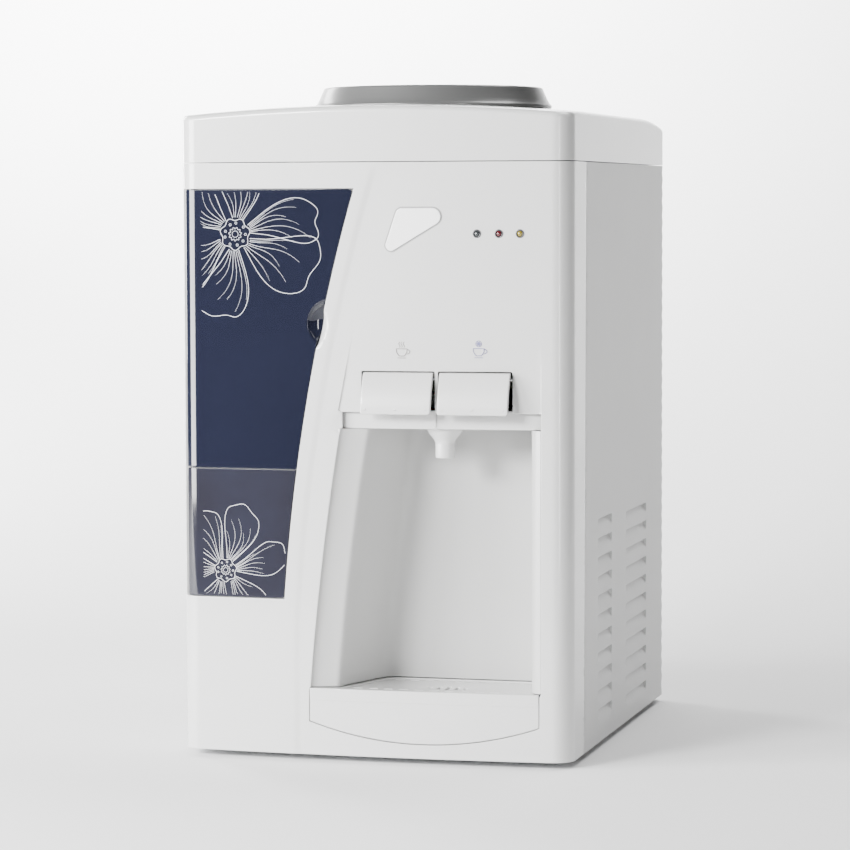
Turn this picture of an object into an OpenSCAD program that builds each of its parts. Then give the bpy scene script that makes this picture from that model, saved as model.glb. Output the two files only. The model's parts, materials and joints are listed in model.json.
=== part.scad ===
// Countertop water dispenser: a bottle seat on top, a dispensing bay with two press buttons,
// a slide-out drip tray, a hinged cup cabinet, and the tanks and cooling circuit inside.
// X points right, Y points to the back and Z points up. The origin is on the counter, under
// the middle of the body. All sizes are in millimetres.

/* [Body] */
// Width across the side panels
body_w = 310; // [308:1:312]
// Depth from the front corners to the rear panel
body_d = 372; // [370:1:374]
// Depth of the whole object, from the button noses to the wall spacers
overall_d = 410; // [408:1:412]
// Height of the seam under the top cover
seam_z = 460; // [459:1:462]
// Height of the top cover at its crown
crown_z = 504; // [503:1:505]
// Height of the rubber feet
foot_h = 5; // [4:1:5]
// How far the front bows forward at its middle
front_bow = 6.4; // [6:0.1:7]
// Radius of the two front corners
corner_r = 16.5; // [16:0.1:17]
// Thickness of the moulded skins and panels
skin_t = 2.5; // [2.3:0.1:2.5]
// Gap between neighbouring panels
seam_gap = 0.6; // [0.4:0.1:0.8]

/* [Cabinet] */
// Height of the lower edge of the tinted trim
trim_z0 = 125.5; // [124:0.5:127]
// Height of the split between the trim and the door
split_z = 225; // [224:0.5:226]
// Height of the top edge of the door
door_z1 = 439; // [438:0.5:440]
// Thickness of the door
door_t = 3; // [2.8:0.1:3]
// Radius of the steel pins that the door turns on
door_pin_r = 1.5; // [1.4:0.1:1.5]
// Depth of the cabinet behind the front
cabinet_depth = 92; // [85:1:92]

/* [Dispensing bay] */
// Height of the top of the bay opening
bay_z1 = 257; // [256:0.5:258]
// Height of the tray rim at the foot of the bay
bay_z0 = 57; // [56:0.5:58]
// X of the right edge of the bay opening
bay_right = 132; // [131:0.5:133]
// Depth of the bay behind the front
bay_depth = 73; // [71:0.5:74]
// X of the spout
spout_x = 52.4; // [51:0.1:54]
// Distance of the spout behind the front
spout_back = 25; // [24:0.5:26]
// Bore radius of the spout outlet
spout_bore_r = 5; // [4.5:0.1:5.2]

/* [Buttons] */
// X of the left edge of the hot button
hot_x0 = -6; // [-7:0.5:-5]
// X of the left edge of the cold button
cold_x0 = 54; // [53.5:0.5:55]
// Width of each button
button_w = 55.5; // [54:0.5:56]
// Height of the lower edge of the buttons
button_z0 = 268.8; // [268:0.2:270]
// Height of the upper edge of the buttons
button_z1 = 300.2; // [299:0.2:301]

/* [Bottle seat] */
// Radius of the collar at its foot
collar_r0 = 96; // [94:0.5:97]
// Radius of the collar at its lip
collar_r1 = 88; // [87:0.5:89]
// Height of the collar lip
collar_z1 = 521; // [520:0.5:522]
// Radius of the socket that takes the bottle neck
neck_r = 27.5; // [27:0.25:28]

/* [Hidden] */
$fn = 64;
eps = 0.01;

// Colours
shell_white = [0.90, 0.90, 0.89];
panel_grey = [0.72, 0.72, 0.71];
collar_grey = [0.56, 0.57, 0.57];
tinted_blue = [0.24, 0.28, 0.38];
steel = [0.70, 0.71, 0.72];
copper = [0.75, 0.45, 0.30];
foam = [0.93, 0.92, 0.86];
silicone = [0.88, 0.88, 0.84];
dark = [0.12, 0.12, 0.13];

// Plan outline of the front: a wide arc between two round corners
half_w = body_w / 2;
rear_y = body_d / 2;
front_r = (half_w * half_w + front_bow * front_bow) / (2 * front_bow);
front_cy = front_r - front_bow - rear_y;
corner_cx = half_w - corner_r;
corner_cy = front_cy - sqrt(pow(front_r - corner_r, 2) - pow(corner_cx, 2));
corner_turn = atan(corner_cx / (front_cy - corner_cy));
nose_y = -overall_d / 2;
far_y = overall_d / 2;

// Side seam of the front panel leans forward towards the bottom
seam_y_top = -131;
seam_y_low = -140;

// Right edges of the door and left edge of the bay are arcs: centre X, centre Z, radius
door_arc = [1417.3, 17.5, 1491.1];
bay_arc = [2297.3, -133.6, 2354];

// Hinge of the door: a barrel that touches the outside of the left corner
barrel_r = 4.4;
hinge_turn = 38;
hinge_x = -corner_cx - (corner_r - barrel_r) * sin(hinge_turn);
hinge_y = corner_cy - (corner_r - barrel_r) * cos(hinge_turn);
groove_turn = 58;
lug_h = 7;

// Cabinet: flange behind the door, and the tub behind the flange
flange_off = 3.6;
flange_t = 2;
tub_left = -140.4;
tub_t = 2;
tub_z0 = 238;
tub_z1 = 428;
tub_right_low = -74;
tub_right_high = -44;
tub_back_y = -rear_y - front_bow + cabinet_depth;
shelf_z = 331;
catch_x = -66;

// Finger scoop shared by the door edge and the panel
scoop_z = 337;
scoop_r = 21.6;
scoop_front = 12;
scoop_right = 7.5;
scoop_wall = 2.5;
dimple_r = 29.2;
dimple_front = 15;
dimple_left = 20;

// Bay: its back wall, and its left wall in plan as steps in from the edge and back from it
bay_back_y = -rear_y - front_bow + bay_depth;
bay_wall_t = 2.5;
bay_left_steps = [[1.5, 2.7], [20, 9], [23, 14.5], [26, 26], [39.5, 64.8], [42, 69.5]];
bay_corner_step = 48;
bay_right_lip = 9;
ledge_left = -22.5;
ledge_z1 = 269.7;
ledge_back = 6.5;
bracket_z1 = 268;
bracket_floor_t = 3;

// Buttons: pivot line, shell and reach
pivot_y = -183;
pivot_z = 295.5;
pivot_r = 1.5;
hub_r = 4.2;
running_gap = 0.05;
button_wall = 2;
button_top_y = front_y(0) + 0.2;
window_top = 301.2;
window_side_gap = 0.9;
lug_w = 2.5;

// Valves behind the buttons
valve_z = 277;
valve_front_y = -172;
valve_len = 38;
valve_r = 9;
stem_r = 2;
plunger_tip_y = -181;
hot_mid = hot_x0 + button_w / 2;
cold_mid = cold_x0 + button_w / 2;
spout_y = front_y(spout_x) + spout_back;

// Drip tray
tray_left = -49.3;
tray_right = 130.3;
tray_mid = (tray_left + tray_right) / 2;
tray_corner_z = 31.5;
tray_low_z = 16.5;
tray_half = (tray_right - tray_left) / 2;
tray_sag = tray_corner_z - tray_low_z;
tray_arc_r = (tray_half * tray_half + tray_sag * tray_sag) / (2 * tray_sag);
tray_gap = 0.5;
tray_wall = 2.5;
tray_side = 1;
tray_floor_z = 31.5;
grille_z0 = 53.6;
grille_z1 = 56.2;
grille_gap = 0.5;

// Tanks
cold_r = 62;
cold_z0 = 300;
cold_z1 = 436;
tank_t = 1.5;
mouth_r = 34;
foam_r0 = 71;
foam_r1 = 86;
hot_at = [92, 42];
hot_r = 42;
hot_z0 = 120;
hot_z1 = 232;

// Compressor and rear
comp_at = [-62, 72];
comp_r = 58;
screw_at = [140, [30, 235, 440]];
switch_z = 392;
switch_x = [62, 92];
rocker_tilt = 12;
rocker_y = 186.4;
inlet_at = [100, 60];
drain_at = [20, 40];
drain_r = 8;
indicator_z = 405.2;
indicator_x = [83.5, 100.3, 116.3];

// ---------- geometry helpers ----------

// Point on the front arc, off inside it, at a turn from straight ahead
function front_pt(turn, off) = [(front_r - off) * sin(turn), front_cy - (front_r - off) * cos(turn)];

// Y of the front surface at an X
function front_y(x, off = 0) = front_cy - sqrt(pow(front_r - off, 2) - x * x);

// Point on a front corner: side is -1 or 1, turn is from straight ahead
function corner_pt(side, turn, off) =
    [side * (corner_cx + (corner_r - off) * sin(turn)), corner_cy - (corner_r - off) * cos(turn)];

// Corner points from one turn to another
function corner_run(side, from, to, off, n = 8) =
    [for (i = [0:n]) corner_pt(side, from + (to - from) * i / n, off)];

// Front arc points between the corners, left to right
function front_run(off, n = 20) =
    [for (i = [1:n - 1]) front_pt(corner_turn * (2 * i / n - 1), off)];

// Whole front outline from the left side, round both corners, to the right side
function front_outline(off, left_turn = 90) = concat(
    corner_run(-1, left_turn, corner_turn, off),
    front_run(off),
    corner_run(1, corner_turn, 90, off));

function reversed(p) = [for (i = [len(p) - 1:-1:0]) p[i]];

// X on an arc that bulges left, at a height
function arc_x(arc, z) = arc[0] - sqrt(pow(arc[2], 2) - pow(z - arc[1], 2));

// Outline points of an edge arc between two heights, grown to the right
function edge_run(arc, z0, z1, grow, n = 10) =
    [for (i = [0:n]) let (z = z0 + (z1 - z0) * i / n) [arc_x(arc, z) + grow, z]];

function unit(v) = v / norm(v);
function left_of(d) = [-d.y, d.x];

// One point of a path moved to its left by t, with mitred corners
function thick_pt(p, i, t) =
    let (a = max(i, 1), b = min(i, len(p) - 2))
    let (before = left_of(unit(p[a] - p[a - 1])), after = left_of(unit(p[b + 1] - p[b])))
    let (m = unit(before + after))
    p[i] + m * t / (m * before);

// Side faces between rings of equal length, and the two end faces
function ring_faces(rings, n) = concat(
    [[for (k = [0:n - 1]) k]],
    [for (i = [0:rings - 2]) for (k = [0:n - 1])
        [i * n + k, (i + 1) * n + k, (i + 1) * n + (k + 1) % n, i * n + (k + 1) % n]],
    [[for (k = [n - 1:-1:0]) (rings - 1) * n + k]]);

// As ring_faces, for rings that run out along one side of a wall and back along the other
function wall_faces(rings, n) = concat(
    [for (k = [0:n / 2 - 2]) [k, k + 1, n - 2 - k, n - 1 - k]],
    [for (i = [0:rings - 2]) for (k = [0:n - 1])
        [i * n + k, (i + 1) * n + k, (i + 1) * n + (k + 1) % n, i * n + (k + 1) % n]],
    [for (k = [0:n / 2 - 2]) let (b = (rings - 1) * n)
        [b + n - 1 - k, b + n - 2 - k, b + k + 1, b + k]]);

// Smooth curve through points
function spline_pt(a, b, c, d, t) =
    0.5 * (2 * b + (c - a) * t + (2 * a - 5 * b + 4 * c - d) * t * t
    + (3 * b - a - 3 * c + d) * t * t * t);
function spline(p, n = 5) = [
    for (i = [0:len(p) - 2]) for (k = [0:(i == len(p) - 2 ? n : n - 1)])
        spline_pt(p[max(i - 1, 0)], p[i], p[i + 1], p[min(i + 2, len(p) - 1)], k / n)];

function path_dir(p, i) = unit(p[min(i + 1, len(p) - 1)] - p[max(i - 1, 0)]);

// Round tube along a path; ref is a direction that the path never follows
module tube(path, r, ref, sides = 8) {
    rings = [for (i = [0:len(path) - 1])
        let (d = path_dir(path, i), u = unit(cross(d, ref)), v = cross(d, u))
        for (k = [0:sides - 1])
            path[i] + r * (u * cos(360 * k / sides) + v * sin(360 * k / sides))];
    polyhedron(rings, ring_faces(len(path), sides), convexity = 6);
}

// Plan of a curved wall between two depths behind the front, from side to side
module wall_plan(off0, off1, back_y) {
    polygon(concat(
        [[-half_w + off0, back_y]], front_outline(off0), [[half_w - off0, back_y]],
        [[half_w - off1, back_y]], reversed(front_outline(off1)), [[-half_w + off1, back_y]]));
}

// Plan of the space behind a given depth
module fill_plan(off, back_y) {
    polygon(concat(front_outline(off), [[half_w - off, back_y], [-half_w + off, back_y]]));
}

module rise(z0, z1) {
    translate([0, 0, z0]) linear_extrude(z1 - z0) children();
}

// Front-view shape carried from one Y to another
module across_y(y0, y1) {
    translate([0, y1, 0]) rotate([90, 0, 0]) linear_extrude(y1 - y0) children();
}

// Side-view shape (Y, Z) carried from one X to another
module across_x(x0, x1) {
    translate([x0, 0, 0]) rotate([90, 0, 90]) linear_extrude(x1 - x0) children();
}

// Round bar along Y or along X
module bar_y(x, z, r, y0, y1) {
    translate([x, y0, z]) rotate([-90, 0, 0]) cylinder(r = r, h = y1 - y0);
}
module bar_x(y, z, r, x0, x1) {
    translate([x0, y, z]) rotate([0, 90, 0]) cylinder(r = r, h = x1 - x0);
}
module bar_z(x, y, r, z0, z1) {
    translate([x, y, z0]) cylinder(r = r, h = z1 - z0);
}

// Front view of the door or trim: right edge on the arc, left edge well past the corner
module door_face(z0, z1, grow = 0) {
    polygon(concat([[-half_w - 20, z0]], edge_run(door_arc, z0, z1, grow), [[-half_w - 20, z1]]));
}

// Plan region in front of the corner centres, cut off at a turn round the left corner
module front_sector(turn) {
    reach = 80;
    polygon([
        [-corner_cx, corner_cy],
        [-corner_cx - reach * sin(turn), corner_cy - reach * cos(turn)],
        [-half_w, nose_y - reach], [half_w, nose_y - reach], [half_w, corner_cy]]);
}

// Front view of the drip tray, with its bowed lower edge
module tray_face(grow = 0) {
    n = 14;
    z_top = bay_z0 + grow;
    polygon(concat(
        [for (i = [0:n])
            let (x = tray_left - grow + (2 * tray_half + 2 * grow) * i / n)
            [x, tray_low_z - grow + tray_arc_r - sqrt(pow(tray_arc_r, 2) - pow(x - tray_mid, 2))]],
        [[tray_right + grow, z_top], [tray_left - grow, z_top]]));
}

// Front view of the bay opening, the ledge recess and the button window above it
module bay_face() {
    polygon(concat(
        [[tray_right, bay_z0 - 2], [bay_right, bay_z0 + tray_gap], [bay_right, ledge_z1],
        [cold_x0 + button_w + window_side_gap, ledge_z1],
        [cold_x0 + button_w + window_side_gap, window_top],
        [cold_x0 - window_side_gap, window_top], [cold_x0 - window_side_gap, ledge_z1],
        [hot_x0 + button_w + window_side_gap, ledge_z1],
        [hot_x0 + button_w + window_side_gap, window_top],
        [hot_x0 - window_side_gap, window_top], [hot_x0 - window_side_gap, ledge_z1],
        [ledge_left, ledge_z1], [ledge_left, bay_z1]],
        reversed(edge_run(bay_arc, bay_z0 + tray_gap, bay_z1 - eps, 0)),
        [[tray_left, bay_z0 - 2]]));
}

// ---------- shell ----------

module base_plate() {
    plate_t = 2.5;
    color(steel) difference() {
        rise(foot_h + 0.4, foot_h + 0.4 + plate_t)
            fill_plan(skin_t + 0.7, rear_y - 8);
        foot_places() cylinder(r = 3.1, h = 20);
        grommet_places() cylinder(r = 3.1, h = 20);
    }
}

module foot_places() {
    for (x = [-139, 139], y = [-136, 150]) translate([x, y, 0]) children();
}

module rubber_feet() {
    color(dark) foot_places() {
        cylinder(r = 9.5, h = foot_h + 0.4);
        translate([0, 0, foot_h]) cylinder(r = 3, h = 6);
    }
}

module front_panel() {
    led_hole_r = 2.7;
    color(shell_white) difference() {
        union() {
            intersection() {
                rise(foot_h, seam_z - seam_gap) wall_plan(0, skin_t, -100);
                across_x(-half_w - 1, half_w + 1) polygon([
                    [nose_y, 0], [seam_y_low, 0], [seam_y_top, seam_z], [nose_y, seam_z]]);
            }
            scoop_pad();
        }
        intersection() {
            across_y(nose_y, -100)
                door_face(trim_z0 - seam_gap, door_z1 + seam_gap, seam_gap);
            rise(0, seam_z) front_sector(groove_turn);
        }
        across_y(nose_y, -160) bay_face();
        across_y(nose_y, -160) tray_face(tray_gap);
        for (x = indicator_x) bar_y(x, indicator_z, led_hole_r, nose_y, -170);
        dimple_x = arc_x(door_arc, scoop_z) - dimple_left;
        translate([dimple_x, front_y(dimple_x) - dimple_front, scoop_z])
            sphere(r = dimple_r, $fn = 48);
    }
}

// Thick pad behind the panel where the finger dimple is cut
module scoop_pad() {
    pad_x0 = arc_x(door_arc, scoop_z) - 4;
    pad_depth = 8.5;
    intersection() {
        rise(scoop_z - 19, scoop_z + 19) wall_plan(skin_t - 0.5, pad_depth, -100);
        translate([pad_x0, nose_y, 0]) cube([14, 60, seam_z]);
    }
}

// Side panel on one side, with its rear corner, rear flange, ribs and pressed-in louvres
module side_panel(side) {
    rear_r = 8;
    z0 = foot_h;
    z1 = seam_z - seam_gap;
    louvre_h = 8;
    louvre_deep = 3.6;
    pocket_wall = 1.6;
    louvre_x = half_w - louvre_deep;
    rib_y = [-90, 20, 150];
    columns = [[-88, -35, 24], [22, 107, 20]];
    arc = [for (a = [0:15:90])
        [half_w - rear_r + rear_r * cos(a), rear_y - rear_r + rear_r * sin(a)]];
    inner_r = rear_r - skin_t;
    inner = [for (a = [90:-15:0])
        [half_w - rear_r + inner_r * cos(a), rear_y - rear_r + inner_r * sin(a)]];
    mirror([side < 0 ? 1 : 0, 0, 0]) difference() {
        union() {
            intersection() {
                rise(z0, z1) polygon(concat([[half_w, -145]], arc, inner, [[half_w - skin_t, -145]]));
                across_x(half_w - 30, half_w + 1) polygon([
                    [seam_y_low + seam_gap, 0], [rear_y + 1, 0], [rear_y + 1, seam_z],
                    [seam_y_top + seam_gap, seam_z]]);
            }
            // Flange that the rear panel screws to
            translate([half_w - 23, rear_y - 2 * skin_t, z0 + 4])
                cube([23 - rear_r + 1, skin_t - 0.1, z1 - z0 - 8]);
            for (y = rib_y) translate([half_w - 0.1, y - 0.6, z0])
                cube([0.7, 1.2, 430 - z0]);
            // Backs of the pressed-in louvres
            for (c = columns, i = [0:10]) let (z = c[2] + 15 * i)
                across_y(c[0] - pocket_wall, c[1] + pocket_wall) polygon([
                    [half_w - 1, z], [louvre_x - pocket_wall, z + louvre_h],
                    [louvre_x - pocket_wall, z + louvre_h + pocket_wall],
                    [half_w - 1, z + louvre_h + pocket_wall]]);
        }
        for (c = columns, i = [0:10]) let (z = c[2] + 15 * i) {
            across_y(c[0], c[1]) polygon([
                [half_w + 1, z - 2.2], [louvre_x, z + louvre_h], [half_w + 1, z + louvre_h]]);
            // Air slot under the top edge of the pocket
            translate([louvre_x - 2 * pocket_wall, c[0] + 3, z + louvre_h - 1.6])
                cube([2.5 * pocket_wall, c[1] - c[0] - 6, 1.6]);
        }
        for (z = screw_at[1]) bar_y(screw_at[0], z, 1.5, rear_y - 10, rear_y);
    }
}

module left_side_panel() {
    color(panel_grey) side_panel(-1);
}

module right_side_panel() {
    color(panel_grey) side_panel(1);
}

module rear_panel() {
    panel_x = half_w - 8 - seam_gap;
    color(panel_grey) difference() {
        translate([-panel_x, rear_y - skin_t, foot_h])
            cube([2 * panel_x, skin_t, seam_z - seam_gap - foot_h]);
        for (s = [-1, 1], z = screw_at[1])
            bar_y(s * screw_at[0], z, 1.75, rear_y - 5, rear_y + 5);
        for (x = switch_x) translate([x - 6.6, rear_y - 5, switch_z - 9.6])
            cube([13.2, 10, 19.2]);
        translate([inlet_at[0] - 13.6, rear_y - 5, inlet_at[1] - 10.1]) cube([27.2, 10, 20.2]);
        bar_y(drain_at[0], drain_at[1], drain_r + 0.3, rear_y - 5, rear_y + 5);
        for (x = [-110, -90]) bar_y(x, 52, 4, rear_y - 5, rear_y + 5);
        for (i = [0:9]) translate([-100 + 20 * i, rear_y - 5, 432]) cube([12, 10, 3]);
    }
}

module panel_screws() {
    color(steel) for (s = [-1, 1], z = screw_at[1]) {
        bar_y(s * screw_at[0], z, 3.4, rear_y, rear_y + 1.8);
        bar_y(s * screw_at[0], z, 1.5, rear_y - 8, rear_y + 0.5);
    }
}

// Solid of the top cover; inset shrinks it on every side for the hollow
module cover_block(inset) {
    arch_r = 1446;
    n = 18;
    z0 = seam_z + (inset > 0 ? -1 : 0);
    top_z = crown_z - inset;
    edge = half_w - inset;
    front_edge = -rear_y - front_bow + inset;
    rear_edge = rear_y - inset;
    intersection() {
        rise(z0, crown_z + 1) intersection() {
            fill_plan(inset, rear_edge);
            translate([-edge, -rear_y - 20]) square([2 * edge, 2 * rear_y + 20 - inset]);
        }
        across_y(-rear_y - 20, rear_y + 1) polygon(concat(
            [[-half_w, z0], [half_w, z0]],
            [for (i = [0:n]) let (x = half_w - 2 * half_w * i / n)
                [x, top_z - arch_r + sqrt(arch_r * arch_r - x * x)]]));
        across_x(-half_w, half_w) polygon([
            [front_edge - 1, z0], [front_edge - 1, top_z - 5], [front_edge + 2, top_z - 3],
            [front_edge + 8, top_z - 1.4], [front_edge + 40, top_z],
            [rear_edge - 90, top_z], [rear_edge - 40, top_z - 2.5], [rear_edge - 16, top_z - 6],
            [rear_edge - 6, top_z - 10], [rear_edge - 1, top_z - 15], [rear_edge, top_z - 20],
            [rear_edge, z0]]);
    }
}

module top_cover() {
    hole_r = 87;
    color(shell_white) difference() {
        cover_block(0);
        cover_block(skin_t);
        bar_z(0, 0, hole_r, seam_z, crown_z + 5);
    }
}

module bottle_seat() {
    lip_t = 3;
    shelf_r = 86;
    funnel_z = 488;
    neck_top = 478;
    neck_low = 441;
    wall = 2.5;
    color(collar_grey) rotate_extrude($fn = 96) polygon([
        [neck_r, neck_low], [neck_r + wall, neck_low], [neck_r + wall, neck_top - 1],
        [48, funnel_z - 3], [shelf_r - 9, funnel_z - 1], [shelf_r, funnel_z + 4],
        [shelf_r, crown_z + 0.3], [collar_r0, crown_z + 0.3], [collar_r0, crown_z + 2.5],
        [collar_r1, collar_z1], [collar_r1 - lip_t, collar_z1], [shelf_r - 6, funnel_z + 6],
        [shelf_r - 12, funnel_z + 2], [46, funnel_z], [neck_r, neck_top]]);
}

module feed_probe() {
    foot_z = 430;
    tip_z = 468;
    color(shell_white) difference() {
        union() {
            bar_z(0, 0, 8, foot_z, tip_z - 6);
            translate([0, 0, tip_z - 6]) cylinder(r1 = 8, r2 = 4, h = 6);
            bar_z(0, 0, 29, foot_z, foot_z + 3);
        }
        bar_z(0, 0, 3, foot_z - 1, tip_z + 1);
        for (a = [0:60:300]) rotate(a) translate([19, 0, foot_z - 1]) cylinder(r = 5, h = 6);
    }
    // Legs that hang the probe from the foot of the neck
    color(shell_white) for (a = [30:120:270]) rotate(a)
        translate([24, -3, foot_z + 3]) cube([3, 6, 441 - foot_z - 3]);
}

module tank_gasket() {
    color(silicone) difference() {
        bar_z(0, 0, 38.5, cold_z1 + 11.2, cold_z1 + 14);
        bar_z(0, 0, 31, cold_z1, cold_z1 + 20);
    }
}

// ---------- cabinet ----------

module hinge_bore(r, z0, z1) {
    bar_z(hinge_x, hinge_y, r, z0, z1);
}

module cabinet_door() {
    z0 = split_z + seam_gap;
    bore_len = 14;
    scoop_x = arc_x(door_arc, scoop_z) + scoop_right;
    scoop_at = [scoop_x, front_y(scoop_x) - scoop_front, scoop_z];
    color(tinted_blue, 0.85) difference() {
        union() {
            intersection() {
                rise(z0, door_z1) difference() {
                    wall_plan(0, door_t, -100);
                    translate([-half_w - 1, corner_cy - 10]) square([30, 80]);
                }
                across_y(nose_y, -100) door_face(z0, door_z1);
                rise(0, seam_z) front_sector(hinge_turn);
            }
            hinge_bore(barrel_r, z0, door_z1);
            intersection() {
                translate(scoop_at) sphere(r = scoop_r + scoop_wall, $fn = 48);
                across_y(nose_y, -100) door_face(z0, door_z1);
                rise(z0, door_z1) fill_plan(1, -100);
            }
        }
        hinge_bore(door_pin_r + running_gap, z0 - 1, z0 + bore_len);
        hinge_bore(door_pin_r + running_gap, door_z1 - bore_len, door_z1 + 1);
        translate(scoop_at) sphere(r = scoop_r, $fn = 48);
    }
}

module door_hinge_pins() {
    reach = 12;
    color(steel) {
        hinge_bore(door_pin_r, split_z - lug_h, split_z + reach);
        hinge_bore(door_pin_r, door_z1 - reach, door_z1 + lug_h);
    }
}

module door_strike_plate() {
    color(steel) intersection() {
        rise(252, 268) wall_plan(door_t, door_t + 0.4, -100);
        translate([catch_x, nose_y, 250]) cube([8, 40, 20]);
    }
}

module door_magnet() {
    color(dark) translate([catch_x, front_y(catch_x, flange_off + flange_t) + 0.8, 252]) cube([8, 6, 16]);
}

module lower_trim_panel() {
    color(tinted_blue, 0.85) intersection() {
        rise(trim_z0, split_z - seam_gap) wall_plan(0, skin_t, -100);
        across_y(nose_y, -100) door_face(trim_z0, split_z - seam_gap);
        rise(0, seam_z) front_sector(hinge_turn + 3);
    }
}

// Front view of the cabinet tub; grow widens it
module tub_face(grow) {
    polygon([
        [tub_left + tub_t - grow, tub_z0 - grow], [tub_right_low + grow, tub_z0 - grow],
        [tub_right_high + grow, tub_z1 + grow], [tub_left + tub_t - grow, tub_z1 + grow]]);
}

module cabinet_liner() {
    flange_z0 = trim_z0 - 6;
    flange_z1 = door_z1 + lug_h + 1;
    overlap = 6;
    color(shell_white) difference() {
        union() {
            intersection() {
                rise(flange_z0, flange_z1) wall_plan(flange_off, flange_off + flange_t, -100);
                across_y(nose_y, -150) intersection() {
                    door_face(flange_z0, flange_z1, overlap);
                    translate([tub_left, 0]) square([2 * half_w, seam_z]);
                }
            }
            intersection() {
                across_y(nose_y, tub_back_y) tub_face(tub_t);
                rise(0, seam_z) fill_plan(flange_off + 0.5, 0);
            }
            // Hinge lugs above and below the door barrel
            for (z = [split_z - lug_h, door_z1 + seam_gap]) intersection() {
                rise(z, z + lug_h - 0.2) fill_plan(2.7, 0);
                translate([-half_w + 3, -190, 0]) cube([17, 15, seam_z]);
            }
        }
        across_y(nose_y, tub_back_y - tub_t) tub_face(0);
        hinge_bore(door_pin_r, split_z - lug_h - 1, door_z1 + lug_h + 2);
        // Notch that clears the finger scoop
        translate([-54, nose_y, scoop_z - 23]) cube([30, 40, 46]);
    }
}

module cabinet_shelf() {
    clearance = 0.4;
    shelf_t = 2.4;
    edge = tub_right_low + (tub_right_high - tub_right_low) * (shelf_z - tub_z0) / (tub_z1 - tub_z0);
    color(silicone, 0.8)
        translate([tub_left + tub_t + clearance, -172, shelf_z])
            cube([edge - tub_left - tub_t - 2 * clearance, 172 + tub_back_y - tub_t - clearance,
                shelf_t]);
}

// ---------- badge and indicator lights ----------

// Rounded triangle, as three discs with straight sides between them
module badge_face() {
    hull() {
        translate([21.5, 419.5]) circle(r = 5, $fn = 32);
        translate([51.5, 420.5]) circle(r = 4, $fn = 32);
        translate([17, 396.5]) circle(r = 4.6, $fn = 32);
    }
}

module badge_plate() {
    color("white") intersection() {
        rise(380, 430) polygon(concat(
            front_outline(-0.9), reversed(front_outline(-0.02))));
        across_y(nose_y, -150) badge_face();
    }
}

module indicator(x) {
    face_y = front_y(x);
    bar_y(x, indicator_z, 2.5, face_y + 1.4, -181.05);
    translate([x, face_y + 1.4, indicator_z]) sphere(r = 2.5, $fn = 32);
}

module led_power() {
    color([0.15, 0.17, 0.25]) indicator(indicator_x[0]);
}

module led_hot() {
    color([0.55, 0.10, 0.10]) indicator(indicator_x[1]);
}

module led_cold() {
    color([0.85, 0.60, 0.10]) indicator(indicator_x[2]);
}

module led_board() {
    color([0.10, 0.35, 0.20]) translate([74, -181, 397]) cube([52, 1.6, 16]);
}

// ---------- dispensing bay ----------

// Inside of the bay in plan at a height, from the left front round to the right front
function bay_inside(z) =
    let (x0 = arc_x(bay_arc, z), y0 = front_y(tray_left), x1 = bay_right - bay_right_lip)
    concat(
        [for (s = bay_left_steps) [x0 + s[0], y0 + s[1]]],
        [[x0 + bay_corner_step, bay_back_y], [x1, bay_back_y], [x1, front_y(x1) + 9],
        [x1 + 4, front_y(x1) + 4.5], [bay_right - 1, front_y(bay_right) + 2.7]]);

function bay_ring(z) =
    let (inside = bay_inside(z))
    [for (p = concat(
        [for (i = [len(inside) - 1:-1:0]) thick_pt(inside, i, bay_wall_t)], inside))
        [p.x, p.y, z]];

// Plan of the bay floor at a height, grown by t and run out past the front
module bay_floor(z, t) {
    inside = bay_inside(z);
    pts = [for (i = [0:len(inside) - 1]) thick_pt(inside, i, t)];
    last = pts[len(pts) - 1];
    polygon(concat([[pts[0].x, nose_y]], pts, [[last.x, nose_y]]));
}

// Plan of the tray or the grille: the bay floor, kept narrow enough for the tray opening
module tray_plan(z, t, side, front_off) {
    intersection() {
        bay_floor(z, t);
        translate([tray_left + side, nose_y])
            square([tray_right - tray_left - 2 * side, 100]);
        fill_plan(front_off, 0);
    }
}

module bay_liner() {
    levels = 3;
    z0 = bay_z0 + seam_gap;
    z1 = bay_z1 - 0.2;
    rings = [for (i = [0:levels - 1]) bay_ring(z0 + (z1 - z0) * i / (levels - 1))];
    color(shell_white) polyhedron(
        [for (ring = rings, p = ring) p], wall_faces(levels, len(rings[0])), convexity = 6);
}

module faucet_bracket() {
    lug_x = [hot_x0 - 5.5, (hot_x0 + button_w + cold_x0 - lug_w) / 2,
        cold_x0 + button_w + 3];
    color(shell_white) difference() {
        union() {
            intersection() {
                rise(bay_z1, bracket_z1) wall_plan(ledge_back, ledge_back + 2.5, -100);
                translate([ledge_left, nose_y, 0]) cube([bay_right - ledge_left, 60, seam_z]);
            }
            intersection() {
                rise(bay_z1, bay_z1 + bracket_floor_t) fill_plan(ledge_back + 1, bay_back_y + 3);
                translate([ledge_left, nose_y, 0]) cube([bay_right - ledge_left, 150, seam_z]);
            }
            for (x = lug_x) across_x(x, x + lug_w) polygon([
                [pivot_y + 1, bay_z1 + 1], [pivot_y + 6.5, bay_z1 + 1], [pivot_y + 5, pivot_z],
                [pivot_y + 3, pivot_z + 2.4], [pivot_y - 2.2, pivot_z + 2.4],
                [pivot_y - 2.2, pivot_z - 6], [pivot_y + 1, pivot_z - 12]]);
        }
        bar_x(pivot_y, pivot_z, pivot_r, -40, 140);
        bar_z(spout_x, spout_y, 7.2, bay_z1 - 1, bay_z1 + 10);
    }
}

module button_pivot_rod() {
    color(steel) bar_x(pivot_y, pivot_z, pivot_r, hot_x0 - 5.5, cold_x0 + button_w + 5.5);
}

module button_springs() {
    color(steel) for (x = [hot_mid, cold_mid]) difference() {
        bar_x(pivot_y, pivot_z, 2.9, x - 6, x + 6);
        bar_x(pivot_y, pivot_z, pivot_r + 0.2, x - 7, x + 7);
    }
}

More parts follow.
